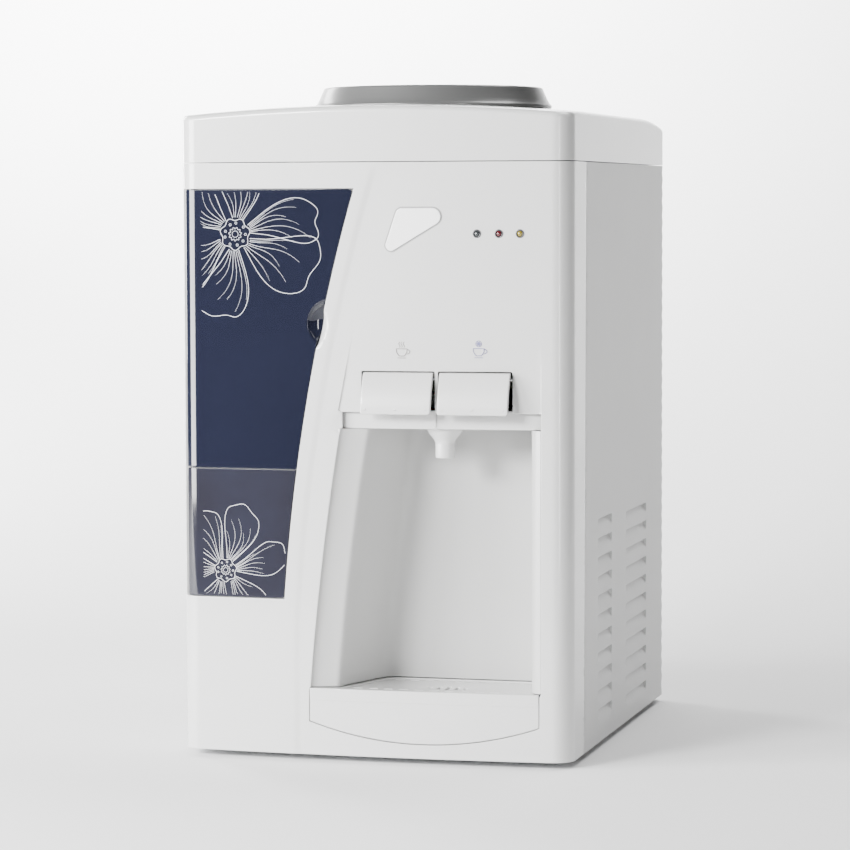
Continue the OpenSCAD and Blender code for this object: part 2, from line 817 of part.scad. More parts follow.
// Side view of a button face, moved inwards by t
function button_face(t, n = 10) = [for (i = [0:n])
    let (s = i / n, reach = button_top_y - nose_y)
    [button_top_y + t - reach * (1 - pow(1 - s, 1.7)),
        button_z1 - t - (button_z1 - button_z0 - t) * s]];

module press_button(x0) {
    x1 = x0 + button_w;
    hub_len = 5;
    mid = (x0 + x1) / 2;
    rear_low_y = -196;
    difference() {
        union() {
            difference() {
                across_x(x0, x1) polygon(concat(
                    button_face(0), [[rear_low_y, button_z0], [rear_low_y + 2, button_z0 + 4],
                    [pivot_y - 3.4, pivot_z - 4], [pivot_y - 3, button_z1 - 0.6]]));
                across_x(x0 + button_wall, x1 - button_wall) polygon(concat(
                    [for (p = button_face(button_wall)) [p.x, max(p.y, button_z0 + button_wall)]],
                    [[rear_low_y + 30, button_z0 + button_wall],
                    [rear_low_y + 30, button_z1 - button_wall]]));
            }
            for (x = [x0, x1 - hub_len]) bar_x(pivot_y, pivot_z, hub_r, x, x + hub_len);
            // Pusher that meets the valve plunger
            across_x(mid - 1.5, mid + 1.5) polygon([
                [-201, 274], [plunger_tip_y - 0.5, 274], [plunger_tip_y - 0.5, 280],
                [-196, 283], [-200, 283]]);
        }
        bar_x(pivot_y, pivot_z, pivot_r + running_gap, x0 - 1, x1 + 1);
    }
}

module hot_button() {
    color(shell_white) press_button(hot_x0);
}

module cold_button() {
    color(shell_white) press_button(cold_x0);
}

module valve(x) {
    port_y = valve_front_y + 9;
    difference() {
        union() {
            bar_y(x, valve_z, valve_r, valve_front_y, valve_front_y + valve_len);
            bar_y(x, valve_z, 3.5, valve_front_y + valve_len, valve_front_y + valve_len + 12);
            bar_z(x, port_y, 3, valve_z - valve_r - 3.5, valve_z - valve_r + 3);
        }
        bar_y(x, valve_z, stem_r + running_gap, valve_front_y - 1, valve_front_y + 32);
    }
}

module hot_valve() {
    color([0.75, 0.20, 0.18]) valve(hot_mid);
}

module cold_valve() {
    color([0.20, 0.35, 0.70]) valve(cold_mid);
}

module plunger(x) {
    bar_y(x, valve_z, stem_r, plunger_tip_y + 1, valve_front_y + 26);
    bar_y(x, valve_z, 4.5, plunger_tip_y, plunger_tip_y + 2.5);
}

module hot_plunger() {
    color(shell_white) plunger(hot_mid);
}

module cold_plunger() {
    color(shell_white) plunger(cold_mid);
}

module spout_manifold() {
    z0 = bay_z1 + bracket_floor_t + 0.3;
    z1 = valve_z - valve_r - 0.2;
    port_y = valve_front_y + 9;
    color(silicone) difference() {
        translate([hot_mid - 8, spout_y - 9, z0]) cube([cold_mid - hot_mid + 16, 22, z1 - z0]);
        for (x = [hot_mid, cold_mid]) bar_z(x, port_y, 3.1, z0 + 2.5, z1 + 1);
        bar_z(spout_x, spout_y, 6.1, z0 - 1, z0 + 4.5);
        bar_x(port_y, z0 + 4.8, 2, hot_mid - 2, cold_mid + 2);
    }
}

module spout() {
    low_z = 234;
    cone_z = 247;
    color(shell_white) difference() {
        union() {
            bar_z(spout_x, spout_y, 7.5, low_z, cone_z + 1);
            translate([spout_x, spout_y, cone_z]) cylinder(r1 = 7.5, r2 = 12.5, h = 7);
            bar_z(spout_x, spout_y, 12.5, cone_z + 7, bay_z1 - 0.2);
            bar_z(spout_x, spout_y, 6, bay_z1 - 1, bay_z1 + bracket_floor_t + 4.4);
        }
        bar_z(spout_x, spout_y, spout_bore_r, low_z - 1, low_z + 20);
        bar_z(spout_x, spout_y, 4, low_z, bay_z1 + 20);
    }
}

module tray_dock() {
    floor_z = 24;
    wall_z = 54;
    left = tray_left - 2.7;
    right = tray_right + 3.7;
    back = bay_back_y + 3;
    wall = 2;
    color(shell_white) difference() {
        intersection() {
            translate([left - wall, nose_y, floor_z])
                cube([right - left + 2 * wall, back + wall - nose_y, wall_z - floor_z]);
            rise(0, 100) fill_plan(skin_t + 1, 0);
        }
        translate([left, nose_y - 1, tray_floor_z - 0.4])
            cube([right - left, back + 1 - nose_y, wall_z]);
        // Relief behind the tray front
        intersection() {
            across_y(nose_y, -186) tray_face(1.5);
            rise(0, 100) wall_plan(0, skin_t + 3, -100);
        }
    }
}

// Plan of the grille: inside the bay at every height it is lifted to, with a straight left edge
module grille_plan(grow = 0) {
    lift_z = bay_z0 + 22;
    lean = 0.35;
    x_back = arc_x(bay_arc, lift_z) + 45 - grow;
    x_right = bay_right - bay_right_lip - 1.8 + grow;
    intersection() {
        tray_plan(lift_z, grow - 3, tray_side + tray_wall + grille_gap - grow,
            skin_t + 1 + grille_gap - grow);
        polygon([[x_back - lean * (bay_back_y - nose_y), nose_y], [x_back, bay_back_y],
            [x_right, bay_back_y], [x_right, nose_y]]);
    }
}

module drip_tray() {
    posts = [[-20, -183], [115, -183], [4, -128], [114, -128]];
    outer = 2.2;
    color(shell_white) {
        difference() {
            union() {
                intersection() {
                    across_y(nose_y, -160) tray_face();
                    rise(0, 100) wall_plan(0, skin_t, -100);
                }
                rise(tray_floor_z, bay_z0) tray_plan(bay_z0, outer, tray_side, skin_t - 0.5);
            }
            rise(tray_floor_z + tray_wall, 100) grille_plan(grille_gap);
        }
        // Posts that carry the grille
        for (p = posts) translate([p.x, p.y, tray_floor_z + 1])
            cube([5, 5, grille_z0 - tray_floor_z - 1.1]);
    }
}

module drip_grille() {
    slots = [[-14, 3], [-7, 6], [0, 8], [7, 6], [14, 3]];
    slot_h = grille_z1 - grille_z0 + 2;
    color(shell_white) difference() {
        rise(grille_z0, grille_z1) grille_plan();
        for (s = slots) translate([spout_x + s[0] - 1.5, spout_y + 6 - s[1], grille_z0 - 1])
            cube([3, 2 * s[1], slot_h]);
        for (x = [2:12:110]) translate([x, -130, grille_z0 - 1]) cube([7, 2.4, slot_h]);
        for (x = [-18:12:110]) translate([x, -179, grille_z0 - 1]) cube([7, 2.4, slot_h]);
    }
}

// ---------- tanks ----------

module cold_tank() {
    outlet = [0, -40];
    color(steel) difference() {
        union() {
            bar_z(0, 0, cold_r + tank_t, cold_z0 - tank_t, cold_z1 + tank_t);
            bar_z(0, 0, mouth_r + tank_t, cold_z1, cold_z1 + 11);
            bar_z(outlet.x, outlet.y, 4, 272, cold_z0);
            bar_z(30, 20, 4, 272, cold_z0);
        }
        bar_z(0, 0, cold_r, cold_z0, cold_z1);
        bar_z(0, 0, mouth_r, cold_z1 - 1, cold_z1 + 20);
    }
}

module tank_baffle() {
    color(shell_white) difference() {
        bar_z(0, 0, cold_r - 1, 385, 388);
        bar_z(0, 0, 6, 380, 390);
        for (a = [0:45:315]) rotate(a) bar_z(50, 0, 4, 380, 390);
    }
}

module tank_insulation() {
    color(foam) difference() {
        bar_z(0, 0, foam_r1, 280, 446);
        bar_z(0, 0, foam_r0, cold_z0 - 4, 460);
        for (p = [[0, -40], [30, 20]]) bar_z(p.x, p.y, 5, 270, 310);
        // Way through the wall for the ends of the coil
        translate([-9, foam_r0 - 6, 300]) cube([18, 30, 160]);
    }
}

module evaporator_coil() {
    turns = 6;
    steps = 20;
    coil_r = cold_r + tank_t + 4.2;
    pitch = 18;
    z0 = 310;
    color(copper) tube([for (i = [0:turns * steps - 2])
        let (a = 92 + 360 * i / steps) [coil_r * cos(a), coil_r * sin(a), z0 + pitch * i / steps]],
        3, [0, 0, 1]);
}

module hot_tank() {
    color(steel) translate([hot_at.x, hot_at.y, 0]) difference() {
        union() {
            bar_z(0, 0, hot_r, hot_z0, hot_z1);
            for (p = [[-15, 0, hot_z1 - 1], [18, 0, hot_z1 - 1], [0, 10, hot_z0 - 14]])
                bar_z(p.x, p.y, 4, p.z, p.z + 15);
        }
        bar_z(0, 0, hot_r - 1.2, hot_z0 + 1.2, hot_z1 - 1.2);
    }
}

module heater_band() {
    color([0.80, 0.62, 0.25]) translate([hot_at.x, hot_at.y, 0]) difference() {
        bar_z(0, 0, hot_r + 2.2, 150, 190);
        bar_z(0, 0, hot_r + 0.1, 140, 200);
        translate([-4, -hot_r - 10, 140]) cube([8, 20, 60]);
    }
}

module hot_tank_insulation() {
    color(foam) translate([hot_at.x, hot_at.y, 0]) difference() {
        bar_z(0, 0, 54, hot_z0 - 8, hot_z1 + 8);
        bar_z(0, 0, hot_r + 3, hot_z0 - 2, hot_z1 + 2);
        for (p = [[-15, 0], [18, 0], [0, 10]]) bar_z(p.x, p.y, 5, hot_z0 - 20, hot_z1 + 20);
    }
}

module water_hoses() {
    valve_end = valve_front_y + valve_len + 12.6;
    hot_top = hot_z1 + 14.6;
    color(silicone) {
        // Cold tank to the cold valve
        tube(spline([[0, -40, 271.2], [0, -40, 262], [8, -52, 253], [40, -80, 257],
            [cold_mid - 3, -98, 274], [cold_mid, valve_end + 10, valve_z],
            [cold_mid, valve_end + 5, valve_z], [cold_mid, valve_end, valve_z]]),
            5, [1, 0.1, 0.3]);
        // Hot tank to the hot valve
        tube(spline([[hot_at.x - 15, hot_at.y, hot_top], [hot_at.x - 15, hot_at.y, hot_top + 9],
            [hot_at.x - 22, 24, hot_top + 16], [56, -30, 254], [hot_mid + 12, -88, 268],
            [hot_mid, valve_end + 12, valve_z], [hot_mid, valve_end + 6, valve_z],
            [hot_mid, valve_end, valve_z]]), 5, [1, 0.2, 0.4]);
        // Cold tank down to the hot tank
        tube(spline([[30, 20, 271.4], [30, 20, 262], [36, 44, 254], [80, 72, 258],
            [hot_at.x + 18, hot_at.y + 12, 264], [hot_at.x + 18, hot_at.y, hot_top + 9],
            [hot_at.x + 18, hot_at.y, hot_top]]), 4.5, [1, -0.4, 0.2]);
        // Hot tank down to the drain
        tube(spline([[hot_at.x, hot_at.y + 10, hot_z0 - 14.6], [hot_at.x, hot_at.y + 10, 92],
            [84, 84, 58], [40, 130, 42], [drain_at[0], 158, drain_at[1]],
            [drain_at[0], 165, drain_at[1]], [drain_at[0], 171.4, drain_at[1]]]),
            5, [1, 0.1, 0.3]);
    }
}

// ---------- cooling circuit ----------

module grommet_places() {
    for (x = [-48, 48], y = [-40, 40])
        translate([comp_at.x + x, comp_at.y + y, 0]) children();
}

module compressor() {
    foot_z = 22;
    color(dark) union() {
        translate([comp_at.x, comp_at.y, 0]) rotate_extrude($fn = 72) polygon([
            [0, 28], [34, 29], [50, 36], [comp_r - 1, 50], [comp_r - 1, 84], [comp_r + 1, 86],
            [comp_r + 1, 92], [comp_r - 2, 94], [comp_r - 4, 128], [46, 146], [28, 155], [0, 158]]);
        difference() {
            translate([comp_at.x - 58, comp_at.y - 50, foot_z]) cube([116, 100, 3]);
            grommet_places() cylinder(r = 5.3, h = 60);
        }
        bar_z(comp_at.x, comp_at.y, 30, foot_z + 1, 32);
        translate([comp_at.x + 48, comp_at.y - 16, 60]) cube([20, 32, 44]);
        bar_z(comp_at.x - 20, comp_at.y + 30, 3, 140, 172);
        bar_z(comp_at.x + 16, comp_at.y + 34, 3, 138, 172);
    }
}

module compressor_grommets() {
    plate_top = foot_h + 2.9;
    color(dark) grommet_places() difference() {
        union() {
            translate([0, 0, plate_top + 0.1]) cylinder(r = 9, h = 22 - plate_top - 0.3);
            translate([0, 0, 20]) cylinder(r = 5, h = 6);
            translate([0, 0, 25.2]) cylinder(r = 8, h = 3);
            translate([0, 0, foot_h + 1]) cylinder(r = 3, h = 6);
        }
        translate([0, 0, plate_top + 3]) cylinder(r = 2, h = 40);
    }
}

module refrigerant_lines() {
    top = 172.8;
    color(copper) {
        // Hot gas line to the condenser inlet
        tube(spline([[comp_at.x - 20, comp_at.y + 30, top], [comp_at.x - 20, comp_at.y + 30, 183],
            [-98, 134, 188], [-112, 160, 120], [-110, 172, 60], [-110, 182, 52],
            [-110, 192, 52]]), 2.6, [1, 0.2, 0.4]);
        // Suction line back from the evaporator coil
        tube(spline([[comp_at.x + 16, comp_at.y + 34, top], [comp_at.x + 16, comp_at.y + 34, 190],
            [-30, 116, 260], [-12, 112, 320], [-6, 104, 402], [-3, 80, 413]]),
            2.6, [1, 0.3, 0.1]);
        // Capillary from the drier to the evaporator coil
        tube(spline([[-125, 148, 291.4], [-125, 148, 301], [-100, 140, 309], [-30, 112, 312],
            [-5, 92, 311], [-4, 76, 311]]), 1.4, [0.1, 0.2, 1], 6);
    }
}

module filter_drier() {
    color(copper) translate([-125, 148, 0]) rotate_extrude($fn = 48) polygon([
        [0, 196], [3, 196], [3, 206], [9, 214], [9, 274], [3, 282], [3, 291], [0, 291]]);
}

// Serpentine at the back: straight runs joined by half-round bends
function bend(x, z, side, r, n = 5) =
    [for (i = [0:n]) let (a = -90 + 180 * i / n) [x + side * r * cos(a), 0, z + r * sin(a)]];

module condenser_tube() {
    runs = 12;
    pitch = 30;
    half = 112;
    bend_r = pitch / 2;
    plane_y = 195;
    path = concat([[-110, 0, 68], [-half + 4, 0, 68]],
        [for (i = [0:runs - 2])
            for (p = bend((i % 2 == 0 ? 1 : -1) * half, 68 + pitch * (i + 0.5),
                i % 2 == 0 ? 1 : -1, bend_r)) p],
        [[-half, 0, 68 + pitch * (runs - 1)]]);
    color(dark) translate([0, plane_y, 0]) tube([for (i = [1:len(path) - 1]) path[i]],
        2.4, [0, 1, 0], 8);
}

module condenser_wires() {
    plane_y = 195;
    wire_r = 0.8;
    color(dark) for (i = [-9:9]) for (s = [-1, 1])
        bar_z(12 * i, plane_y + s * 3.3, wire_r, 60, 406);
}

module wall_spacers() {
    color(dark) for (x = [-138, 138], z = [90, 415])
        translate([x - 6, rear_y, z - 6]) cube([12, far_y - rear_y, 12]);
}

// ---------- rear controls ----------

module cold_thermostat() {
    color([0.2, 0.2, 0.2]) {
        translate([112, 150, 300]) cube([28, 22, 34]);
        bar_y(126, 317, 4, 172, 180);
    }
}

module switch_housings() {
    color(dark) for (x = switch_x) difference() {
        union() {
            translate([x - 6.4, rear_y - 16, switch_z - 9.4]) cube([12.8, 16, 18.8]);
            translate([x - 7.6, rear_y, switch_z - 10.6]) cube([15.2, 2, 21.2]);
        }
        translate([x - 4.8, rear_y - 6, switch_z - 8.4]) cube([9.6, 12, 16.8]);
        bar_x(rocker_y - 2, switch_z, 1.05, x - 5.8, x + 5.8);
    }
}

// Rocker cap, resting tilted to its off side
module rocker(x) {
    translate([x, rocker_y - 2, switch_z]) rotate([-rocker_tilt, 0, 0]) {
        across_x(-4.5, 4.5) polygon([
            [-2.4, -2], [-2.4, 2], [1.2, 7.2], [4.2, 7.4], [2.9, 0], [4.2, -7.4], [1.2, -7.2]]);
        bar_x(0, 0, 1, -5.6, 5.6);
    }
}

module hot_switch() {
    color([0.70, 0.12, 0.10]) rocker(switch_x[0]);
}

module cold_switch() {
    color([0.12, 0.50, 0.22]) rocker(switch_x[1]);
}

module power_inlet() {
    color(dark) translate([inlet_at[0], rear_y, inlet_at[1]]) {
        difference() {
            union() {
                translate([-13.4, -22, -9.9]) cube([26.8, 22, 19.8]);
                translate([-15.5, 0, -12]) cube([31, 2.5, 24]);
            }
            translate([-11.8, -15, -8]) cube([23.6, 20, 16]);
        }
        for (p = [[-7, -2], [7, -2], [0, 2]])
            translate([p[0] - 1, -16, p[1] - 2]) cube([2, 11.5, 4]);
    }
}

module drain_outlet() {
    color(shell_white) difference() {
        union() {
            bar_y(drain_at[0], drain_at[1], 5, rear_y - 14, rear_y - 7);
            bar_y(drain_at[0], drain_at[1], 11, rear_y - 7, rear_y - skin_t - 0.1);
            bar_y(drain_at[0], drain_at[1], drain_r, rear_y - 3, rear_y + 12);
        }
        bar_y(drain_at[0], drain_at[1], 3.2, rear_y - 20, rear_y + 20);
    }
}

module drain_cap() {
    color(dark) translate([drain_at[0], rear_y + 1, drain_at[1]]) rotate([-90, 0, 0])
        difference() {
            union() {
                cylinder(r = 11.5, h = 14);
                for (a = [0:30:330]) rotate(a) translate([10.8, -1, 0]) cube([1.6, 2, 13]);
            }
            translate([0, 0, -1]) cylinder(r = drain_r + running_gap, h = 12.5);
        }
}

base_plate();
rubber_feet();
front_panel();
left_side_panel();
right_side_panel();
rear_panel();
panel_screws();
top_cover();
bottle_seat();
feed_probe();
tank_gasket();
cabinet_door();
door_hinge_pins();
door_strike_plate();
door_magnet();
lower_trim_panel();
cabinet_liner();
cabinet_shelf();
badge_plate();
led_power();
led_hot();
led_cold();
led_board();
bay_liner();
faucet_bracket();
button_pivot_rod();
button_springs();
hot_button();
cold_button();
hot_valve();
cold_valve();
hot_plunger();
cold_plunger();
spout_manifold();
spout();
tray_dock();
drip_tray();
drip_grille();
cold_tank();
tank_baffle();
tank_insulation();
evaporator_coil();
hot_tank();
heater_band();
hot_tank_insulation();
water_hoses();
compressor();
compressor_grommets();
refrigerant_lines();
filter_drier();
condenser_tube();
condenser_wires();
wall_spacers();
cold_thermostat();
switch_housings();
hot_switch();
cold_switch();
power_inlet();
drain_outlet();
drain_cap();
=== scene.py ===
import json
import math
import random

import bpy
import numpy as np
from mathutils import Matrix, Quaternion, Vector
from mathutils.geometry import delaunay_2d_cdt


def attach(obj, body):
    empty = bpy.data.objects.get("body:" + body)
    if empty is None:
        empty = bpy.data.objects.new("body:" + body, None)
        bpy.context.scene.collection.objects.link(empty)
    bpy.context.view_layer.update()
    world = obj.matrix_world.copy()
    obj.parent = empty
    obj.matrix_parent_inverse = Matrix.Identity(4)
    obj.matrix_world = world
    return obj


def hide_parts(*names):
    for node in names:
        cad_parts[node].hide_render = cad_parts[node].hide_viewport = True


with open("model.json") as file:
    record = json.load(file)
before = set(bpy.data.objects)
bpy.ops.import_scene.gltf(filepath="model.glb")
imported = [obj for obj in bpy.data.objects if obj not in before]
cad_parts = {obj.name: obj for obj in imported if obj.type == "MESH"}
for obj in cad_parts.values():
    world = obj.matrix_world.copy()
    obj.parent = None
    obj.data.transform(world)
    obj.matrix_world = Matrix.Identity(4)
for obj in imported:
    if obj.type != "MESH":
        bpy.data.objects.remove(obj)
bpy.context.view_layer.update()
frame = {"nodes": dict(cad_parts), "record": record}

# ---------------------------------------------------------------- sizes, in millimetres

HALF_W, REAR_Y, BOW, CORNER_R = 155.0, 186.0, 6.4, 16.5
FRONT_R = (HALF_W ** 2 + BOW ** 2) / (2 * BOW)
FRONT_CY = FRONT_R - BOW - REAR_Y
CORNER_X = HALF_W - CORNER_R
CORNER_Y = FRONT_CY - math.sqrt((FRONT_R - CORNER_R) ** 2 - CORNER_X ** 2)
TURN = math.atan(CORNER_X / (FRONT_CY - CORNER_Y))
S1 = FRONT_R * TURN
S2 = S1 + CORNER_R * (math.pi / 2 - TURN)
DOOR_ARC = (1417.3, 17.5, 1491.1)
BAY_ARC = (2297.3, -133.6, 2354.0)
BAY_BACK = -119.4
SPOUT = (52.4, -166.67)
SKIN_T, SHEET_T = 2.5, 1.2
SHELL_Z0, SHELL_Z1 = 5.4, 459.4
SEAM_LOW, SEAM_TOP = -140.0, -131.0  # Y of the seam between the front and a side, at the bottom and the top
SEAM_GAP = 0.6
REAR_R = 8.0
BAY_Z0, BAY_Z1 = 57.0, 257.0
PRINT_LIMIT = 137.5  # printing stops short of the left corner


def front_y(x):
    """Y of the bowed front at an X between its corners."""
    return FRONT_CY - np.sqrt(FRONT_R ** 2 - np.asarray(x, float) ** 2)


def arc_x(arc, z):
    """X at a height of an arc drawn on the front: (X of its centre, Z of its centre, radius)."""
    return arc[0] - np.sqrt(arc[2] ** 2 - (np.asarray(z, float) - arc[1]) ** 2)


def run_of(x):
    """Distance along the skin from the middle of the front to an X on the front arc."""
    return FRONT_R * np.arcsin(np.asarray(x, float) / FRONT_R)


def turn_run(degrees):
    """Distance along the skin to a turn round a front corner."""
    return S1 + CORNER_R * (math.radians(degrees) - TURN)


def side_run(y):
    """Distance along the skin to a Y on the flat side."""
    return S2 + (y - CORNER_Y)


def on_skin(s, z, d):
    """Point d inside the outer skin, s along it from the middle of the front, at height z."""
    s, z, d = (np.asarray(a, float) for a in (s, z, d))
    a = np.abs(s)
    phi = np.where(a < S1, a / FRONT_R, np.minimum(TURN + (a - S1) / CORNER_R, math.pi / 2))
    x = np.where(a < S1, (FRONT_R - d) * np.sin(phi), CORNER_X + (CORNER_R - d) * np.sin(phi))
    y = np.where(a < S1, FRONT_CY - (FRONT_R - d) * np.cos(phi), CORNER_Y - (CORNER_R - d) * np.cos(phi))
    y = np.where(a > S2, CORNER_Y + (a - S2), y)
    return np.stack([np.sign(s) * x, y, z + 0 * s], -1)


# ---------------------------------------------------------------- flat outlines

def unit(v):
    return v / np.maximum(np.linalg.norm(v, axis=-1, keepdims=True), 1e-12)


def rounded(points, n=6):
    """Closed outline from corners (x, y, radius), each corner rounded to its radius."""
    out = []
    for i, (x, y, r) in enumerate(points):
        p = np.array([x, y], float)
        if r <= 0:
            out.append(p)
            continue
        a = np.array(points[i - 1][:2], float) - p
        b = np.array(points[(i + 1) % len(points)][:2], float) - p
        la, lb = np.linalg.norm(a), np.linalg.norm(b)
        a, b = a / la, b / lb
        turn = math.pi - math.acos(float(np.clip(a @ b, -1, 1)))
        t = min(r * math.tan(turn / 2), 0.49 * la, 0.49 * lb)
        for k in range(n + 1):
            w = k / n
            out.append(p + a * t * (1 - w) ** 2 + b * t * w ** 2)
    return np.array(out)


def circle(cx, cy, r, n=40):
    a = np.arange(n) * 2 * math.pi / n
    return np.stack([cx + r * np.cos(a), cy + r * np.sin(a)], -1)


def area(loop):
    x, y = loop[:, 0], loop[:, 1]
    return 0.5 * float(np.sum(x * np.roll(y, -1) - y * np.roll(x, -1)))


def turned(loop, ccw):
    return loop if (area(loop) > 0) == ccw else loop[::-1]


def dense(loop, step):
    out = []
    for p, q in zip(loop, np.roll(loop, -1, 0)):
        n = max(1, int(math.ceil(np.linalg.norm(q - p) / step)))
        out += [p + (q - p) * k / n for k in range(n)]
    out = np.array(out)
    keep = np.linalg.norm(out - np.roll(out, 1, 0), axis=1) > 1e-4
    return out[keep]


def inset(loop, d):
    """The outline moved d to its left."""
    if d == 0:
        return loop
    e1, e2 = unit(loop - np.roll(loop, 1, 0)), unit(np.roll(loop, -1, 0) - loop)
    n1, n2 = np.stack([-e1[:, 1], e1[:, 0]], -1), np.stack([-e2[:, 1], e2[:, 0]], -1)
    m = unit(n1 + n2)
    return loop + m * d / np.maximum(np.sum(m * n1, -1, keepdims=True), 0.4)


def inside(pts, loops):
    hit = np.zeros(len(pts), bool)
    for loop in loops:
        a, b = loop, np.roll(loop, -1, 0)
        for (x0, y0), (x1, y1) in zip(a, b):
            if y0 == y1:
                continue
            crosses = (pts[:, 1] > min(y0, y1)) & (pts[:, 1] <= max(y0, y1))
            hit ^= crosses & (pts[:, 0] < x0 + (pts[:, 1] - y0) * (x1 - x0) / (y1 - y0))
    return hit


def fill(loops, step, zones=(), lines=()):
    """Triangles inside the outlines, with a grid of points step apart and finer zones (x, y, radius, step)."""
    every = np.concatenate(loops)
    lo, hi = every.min(0), every.max(0)
    grids = []
    for x, y, radius, fine in list(zones) + [(None, None, None, step)]:
        a, b = (lo, hi) if x is None else (np.array([x, y]) - radius, np.array([x, y]) + radius)
        gx, gy = np.meshgrid(np.arange(a[0] + fine / 2, b[0], fine), np.arange(a[1] + fine / 2, b[1], fine * 0.87))
        gx = gx + (np.arange(gx.shape[0]) % 2)[:, None] * fine / 2
        g = np.stack([gx.ravel(), gy.ravel()], -1)
        if x is not None:
            g = g[np.linalg.norm(g - [x, y], axis=1) < radius]
        else:
            for zx, zy, zr, _ in zones:
                g = g[np.linalg.norm(g - [zx, zy], axis=1) > zr + step * 0.4]
        edge = np.concatenate([every] + [np.asarray(l, float) for l in lines])
        near = np.full(len(g), 1e9)
        for k in range(0, len(g), 2000):
            gap = np.linalg.norm(g[k:k + 2000, None] - edge[None], axis=2)
            near[k:k + 2000] = gap.min(1)
        grids.append(g[near > fine * 0.6])
    g = np.concatenate(grids)
    g = g[inside(g, loops)]
    edges, base = [], 0
    for loop in loops:
        n = len(loop)
        edges += [(base + k, base + (k + 1) % n) for k in range(n)]
        base += n
    points = [every]
    for line in lines:
        points.append(np.asarray(line, float))
        edges += [(base + k, base + k + 1) for k in range(len(line) - 1)]
        base += len(line)
    points = np.concatenate(points + [g])
    v, _, f, origin, _, _ = delaunay_2d_cdt([Vector(p) for p in points], edges, [], 0, 1e-5)
    v = np.array([tuple(p) for p in v])
    tri = np.array([t for t in f if len(t) == 3])
    tri = tri[inside(v[tri].mean(1), loops)]
    e1, e2 = v[tri[:, 1]] - v[tri[:, 0]], v[tri[:, 2]] - v[tri[:, 0]]
    flip = (e1[:, 0] * e2[:, 1] - e1[:, 1] * e2[:, 0]) < 0
    tri[flip] = tri[flip][:, ::-1]
    place = {}
    for k, o in enumerate(origin):
        for i in o:
            place[i] = k
    rims, base = [], 0
    for loop in loops:
        rims.append([place[base + k] for k in range(len(loop))])
        base += len(loop)
    return v, tri, rims


# ---------------------------------------------------------------- meshes

def add(name, verts, faces, material, body="housing", stands_for=(), crease=35, weighted=True):
    me = bpy.data.meshes.new(name)
    me.from_pydata((np.asarray(verts, float) * 0.001).tolist(), [], [tuple(int(i) for i in f) for f in faces])
    me.validate()
    me.update()
    me.polygons.foreach_set("use_smooth", [True] * len(me.polygons))
    me.set_sharp_from_angle(angle=math.radians(crease))
    me.materials.append(MAT[material])
    ob = bpy.data.objects.new(name, me)
    bpy.context.scene.collection.objects.link(ob)
    if weighted:
        mod = ob.modifiers.new("normals", "WEIGHTED_NORMAL")
        mod.keep_sharp = True
        mod.weight = 60
    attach(ob, body)
    if stands_for:
        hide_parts(*([stands_for] if isinstance(stands_for, str) else stands_for))
    return ob


def slab(loops, thick, r, place, step=6.0, dip=None, zones=(), lines=(), rings=4, edge_step=None):
    """A plate with rounded front edges: outlines in the flat, carried onto a surface by place(u, v, depth).
    dip(u, v) pushes the plate in, front and back alike. Returns points and faces."""
    loops = [dense(turned(np.asarray(l, float), i == 0), edge_step or step * 0.6) for i, l in enumerate(loops)]
    turn = np.linspace(0, math.pi / 2, rings + 1) if r > 0 else [0]
    prof = [(r * (1 - math.cos(t)), r * (1 - math.sin(t))) for t in turn]
    v, tri, rims = fill([inset(l, prof[-1][0]) for l in loops], step, zones, lines)
    pts, dep, faces = [v], [np.zeros(len(v))], tri.tolist()
    base = len(v)
    prev = rims
    for off, d in prof[-2::-1] + [(0, thick)]:
        cur = []
        for l in loops:
            q = inset(l, off)
            pts.append(q)
            dep.append(np.full(len(q), d))
            cur.append(list(range(base, base + len(q))))
            base += len(q)
        for a, b in zip(prev, cur):
            n = len(a)
            faces += [(a[k], b[k], b[(k + 1) % n], a[(k + 1) % n]) for k in range(n)]
        prev = cur
    pts.append(v)
    dep.append(np.full(len(v), thick))
    for a, b in zip(prev, [[base + i for i in rim] for rim in rims]):
        n = len(a)
        faces += [(a[k], b[k], b[(k + 1) % n], a[(k + 1) % n]) for k in range(n)]
    faces += (tri[:, ::-1] + base).tolist()
    pts, dep = np.concatenate(pts), np.concatenate(dep)
    if dip is not None:
        dep = dep + dip(pts[:, 0], pts[:, 1])
    return place(pts[:, 0], pts[:, 1], dep), faces


def joined(*parts):
    verts, faces, base = [], [], 0
    for v, f in parts:
        verts.append(np.asarray(v, float))
        faces += [tuple(i + base for i in q) for q in f]
        base += len(v)
    return np.concatenate(verts), faces


def loft(rows, caps=False):
    """Quads between closed rows of points of equal length."""
    rows = [np.asarray(r, float) for r in rows]
    n = len(rows[0])
    faces = []
    for i in range(len(rows) - 1):
        for k in range(n):
            a, b = i * n + k, i * n + (k + 1) % n
            faces.append((a, b, b + n, a + n))
    if caps:
        faces.append(tuple(range(n - 1, -1, -1)))
        faces.append(tuple(range((len(rows) - 1) * n, len(rows) * n)))
    return np.concatenate(rows), faces


def lathe(profile, cx, cy, n):
    """Turned shape about a vertical line from a closed profile of (radius, height), outside first when going up."""
    a = np.arange(n) * 2 * math.pi / n
    rows = [np.stack([cx + r * np.cos(a), cy + r * np.sin(a), np.full(n, z)], -1) for r, z in profile + profile[:1]]
    return loft(rows)


def wire(points, radius, sides=6):
    """Round thread through points, with a radius for each point."""
    p = np.asarray(points, float)
    radius = np.broadcast_to(np.asarray(radius, float), (len(p),))
    d = unit(np.gradient(p, axis=0))
    up = np.array([0.0, 1.0, 0.0])
    rows = []
    for q, t, r in zip(p, d, radius):
        u = unit(np.cross(t, up))
        w = np.cross(u, t)
        a = np.arange(sides) * 2 * math.pi / sides
        rows.append(q + r * (np.cos(a)[:, None] * u + np.sin(a)[:, None] * w))
    return loft(rows, caps=True)


# ---------------------------------------------------------------- materials

MAT = {}


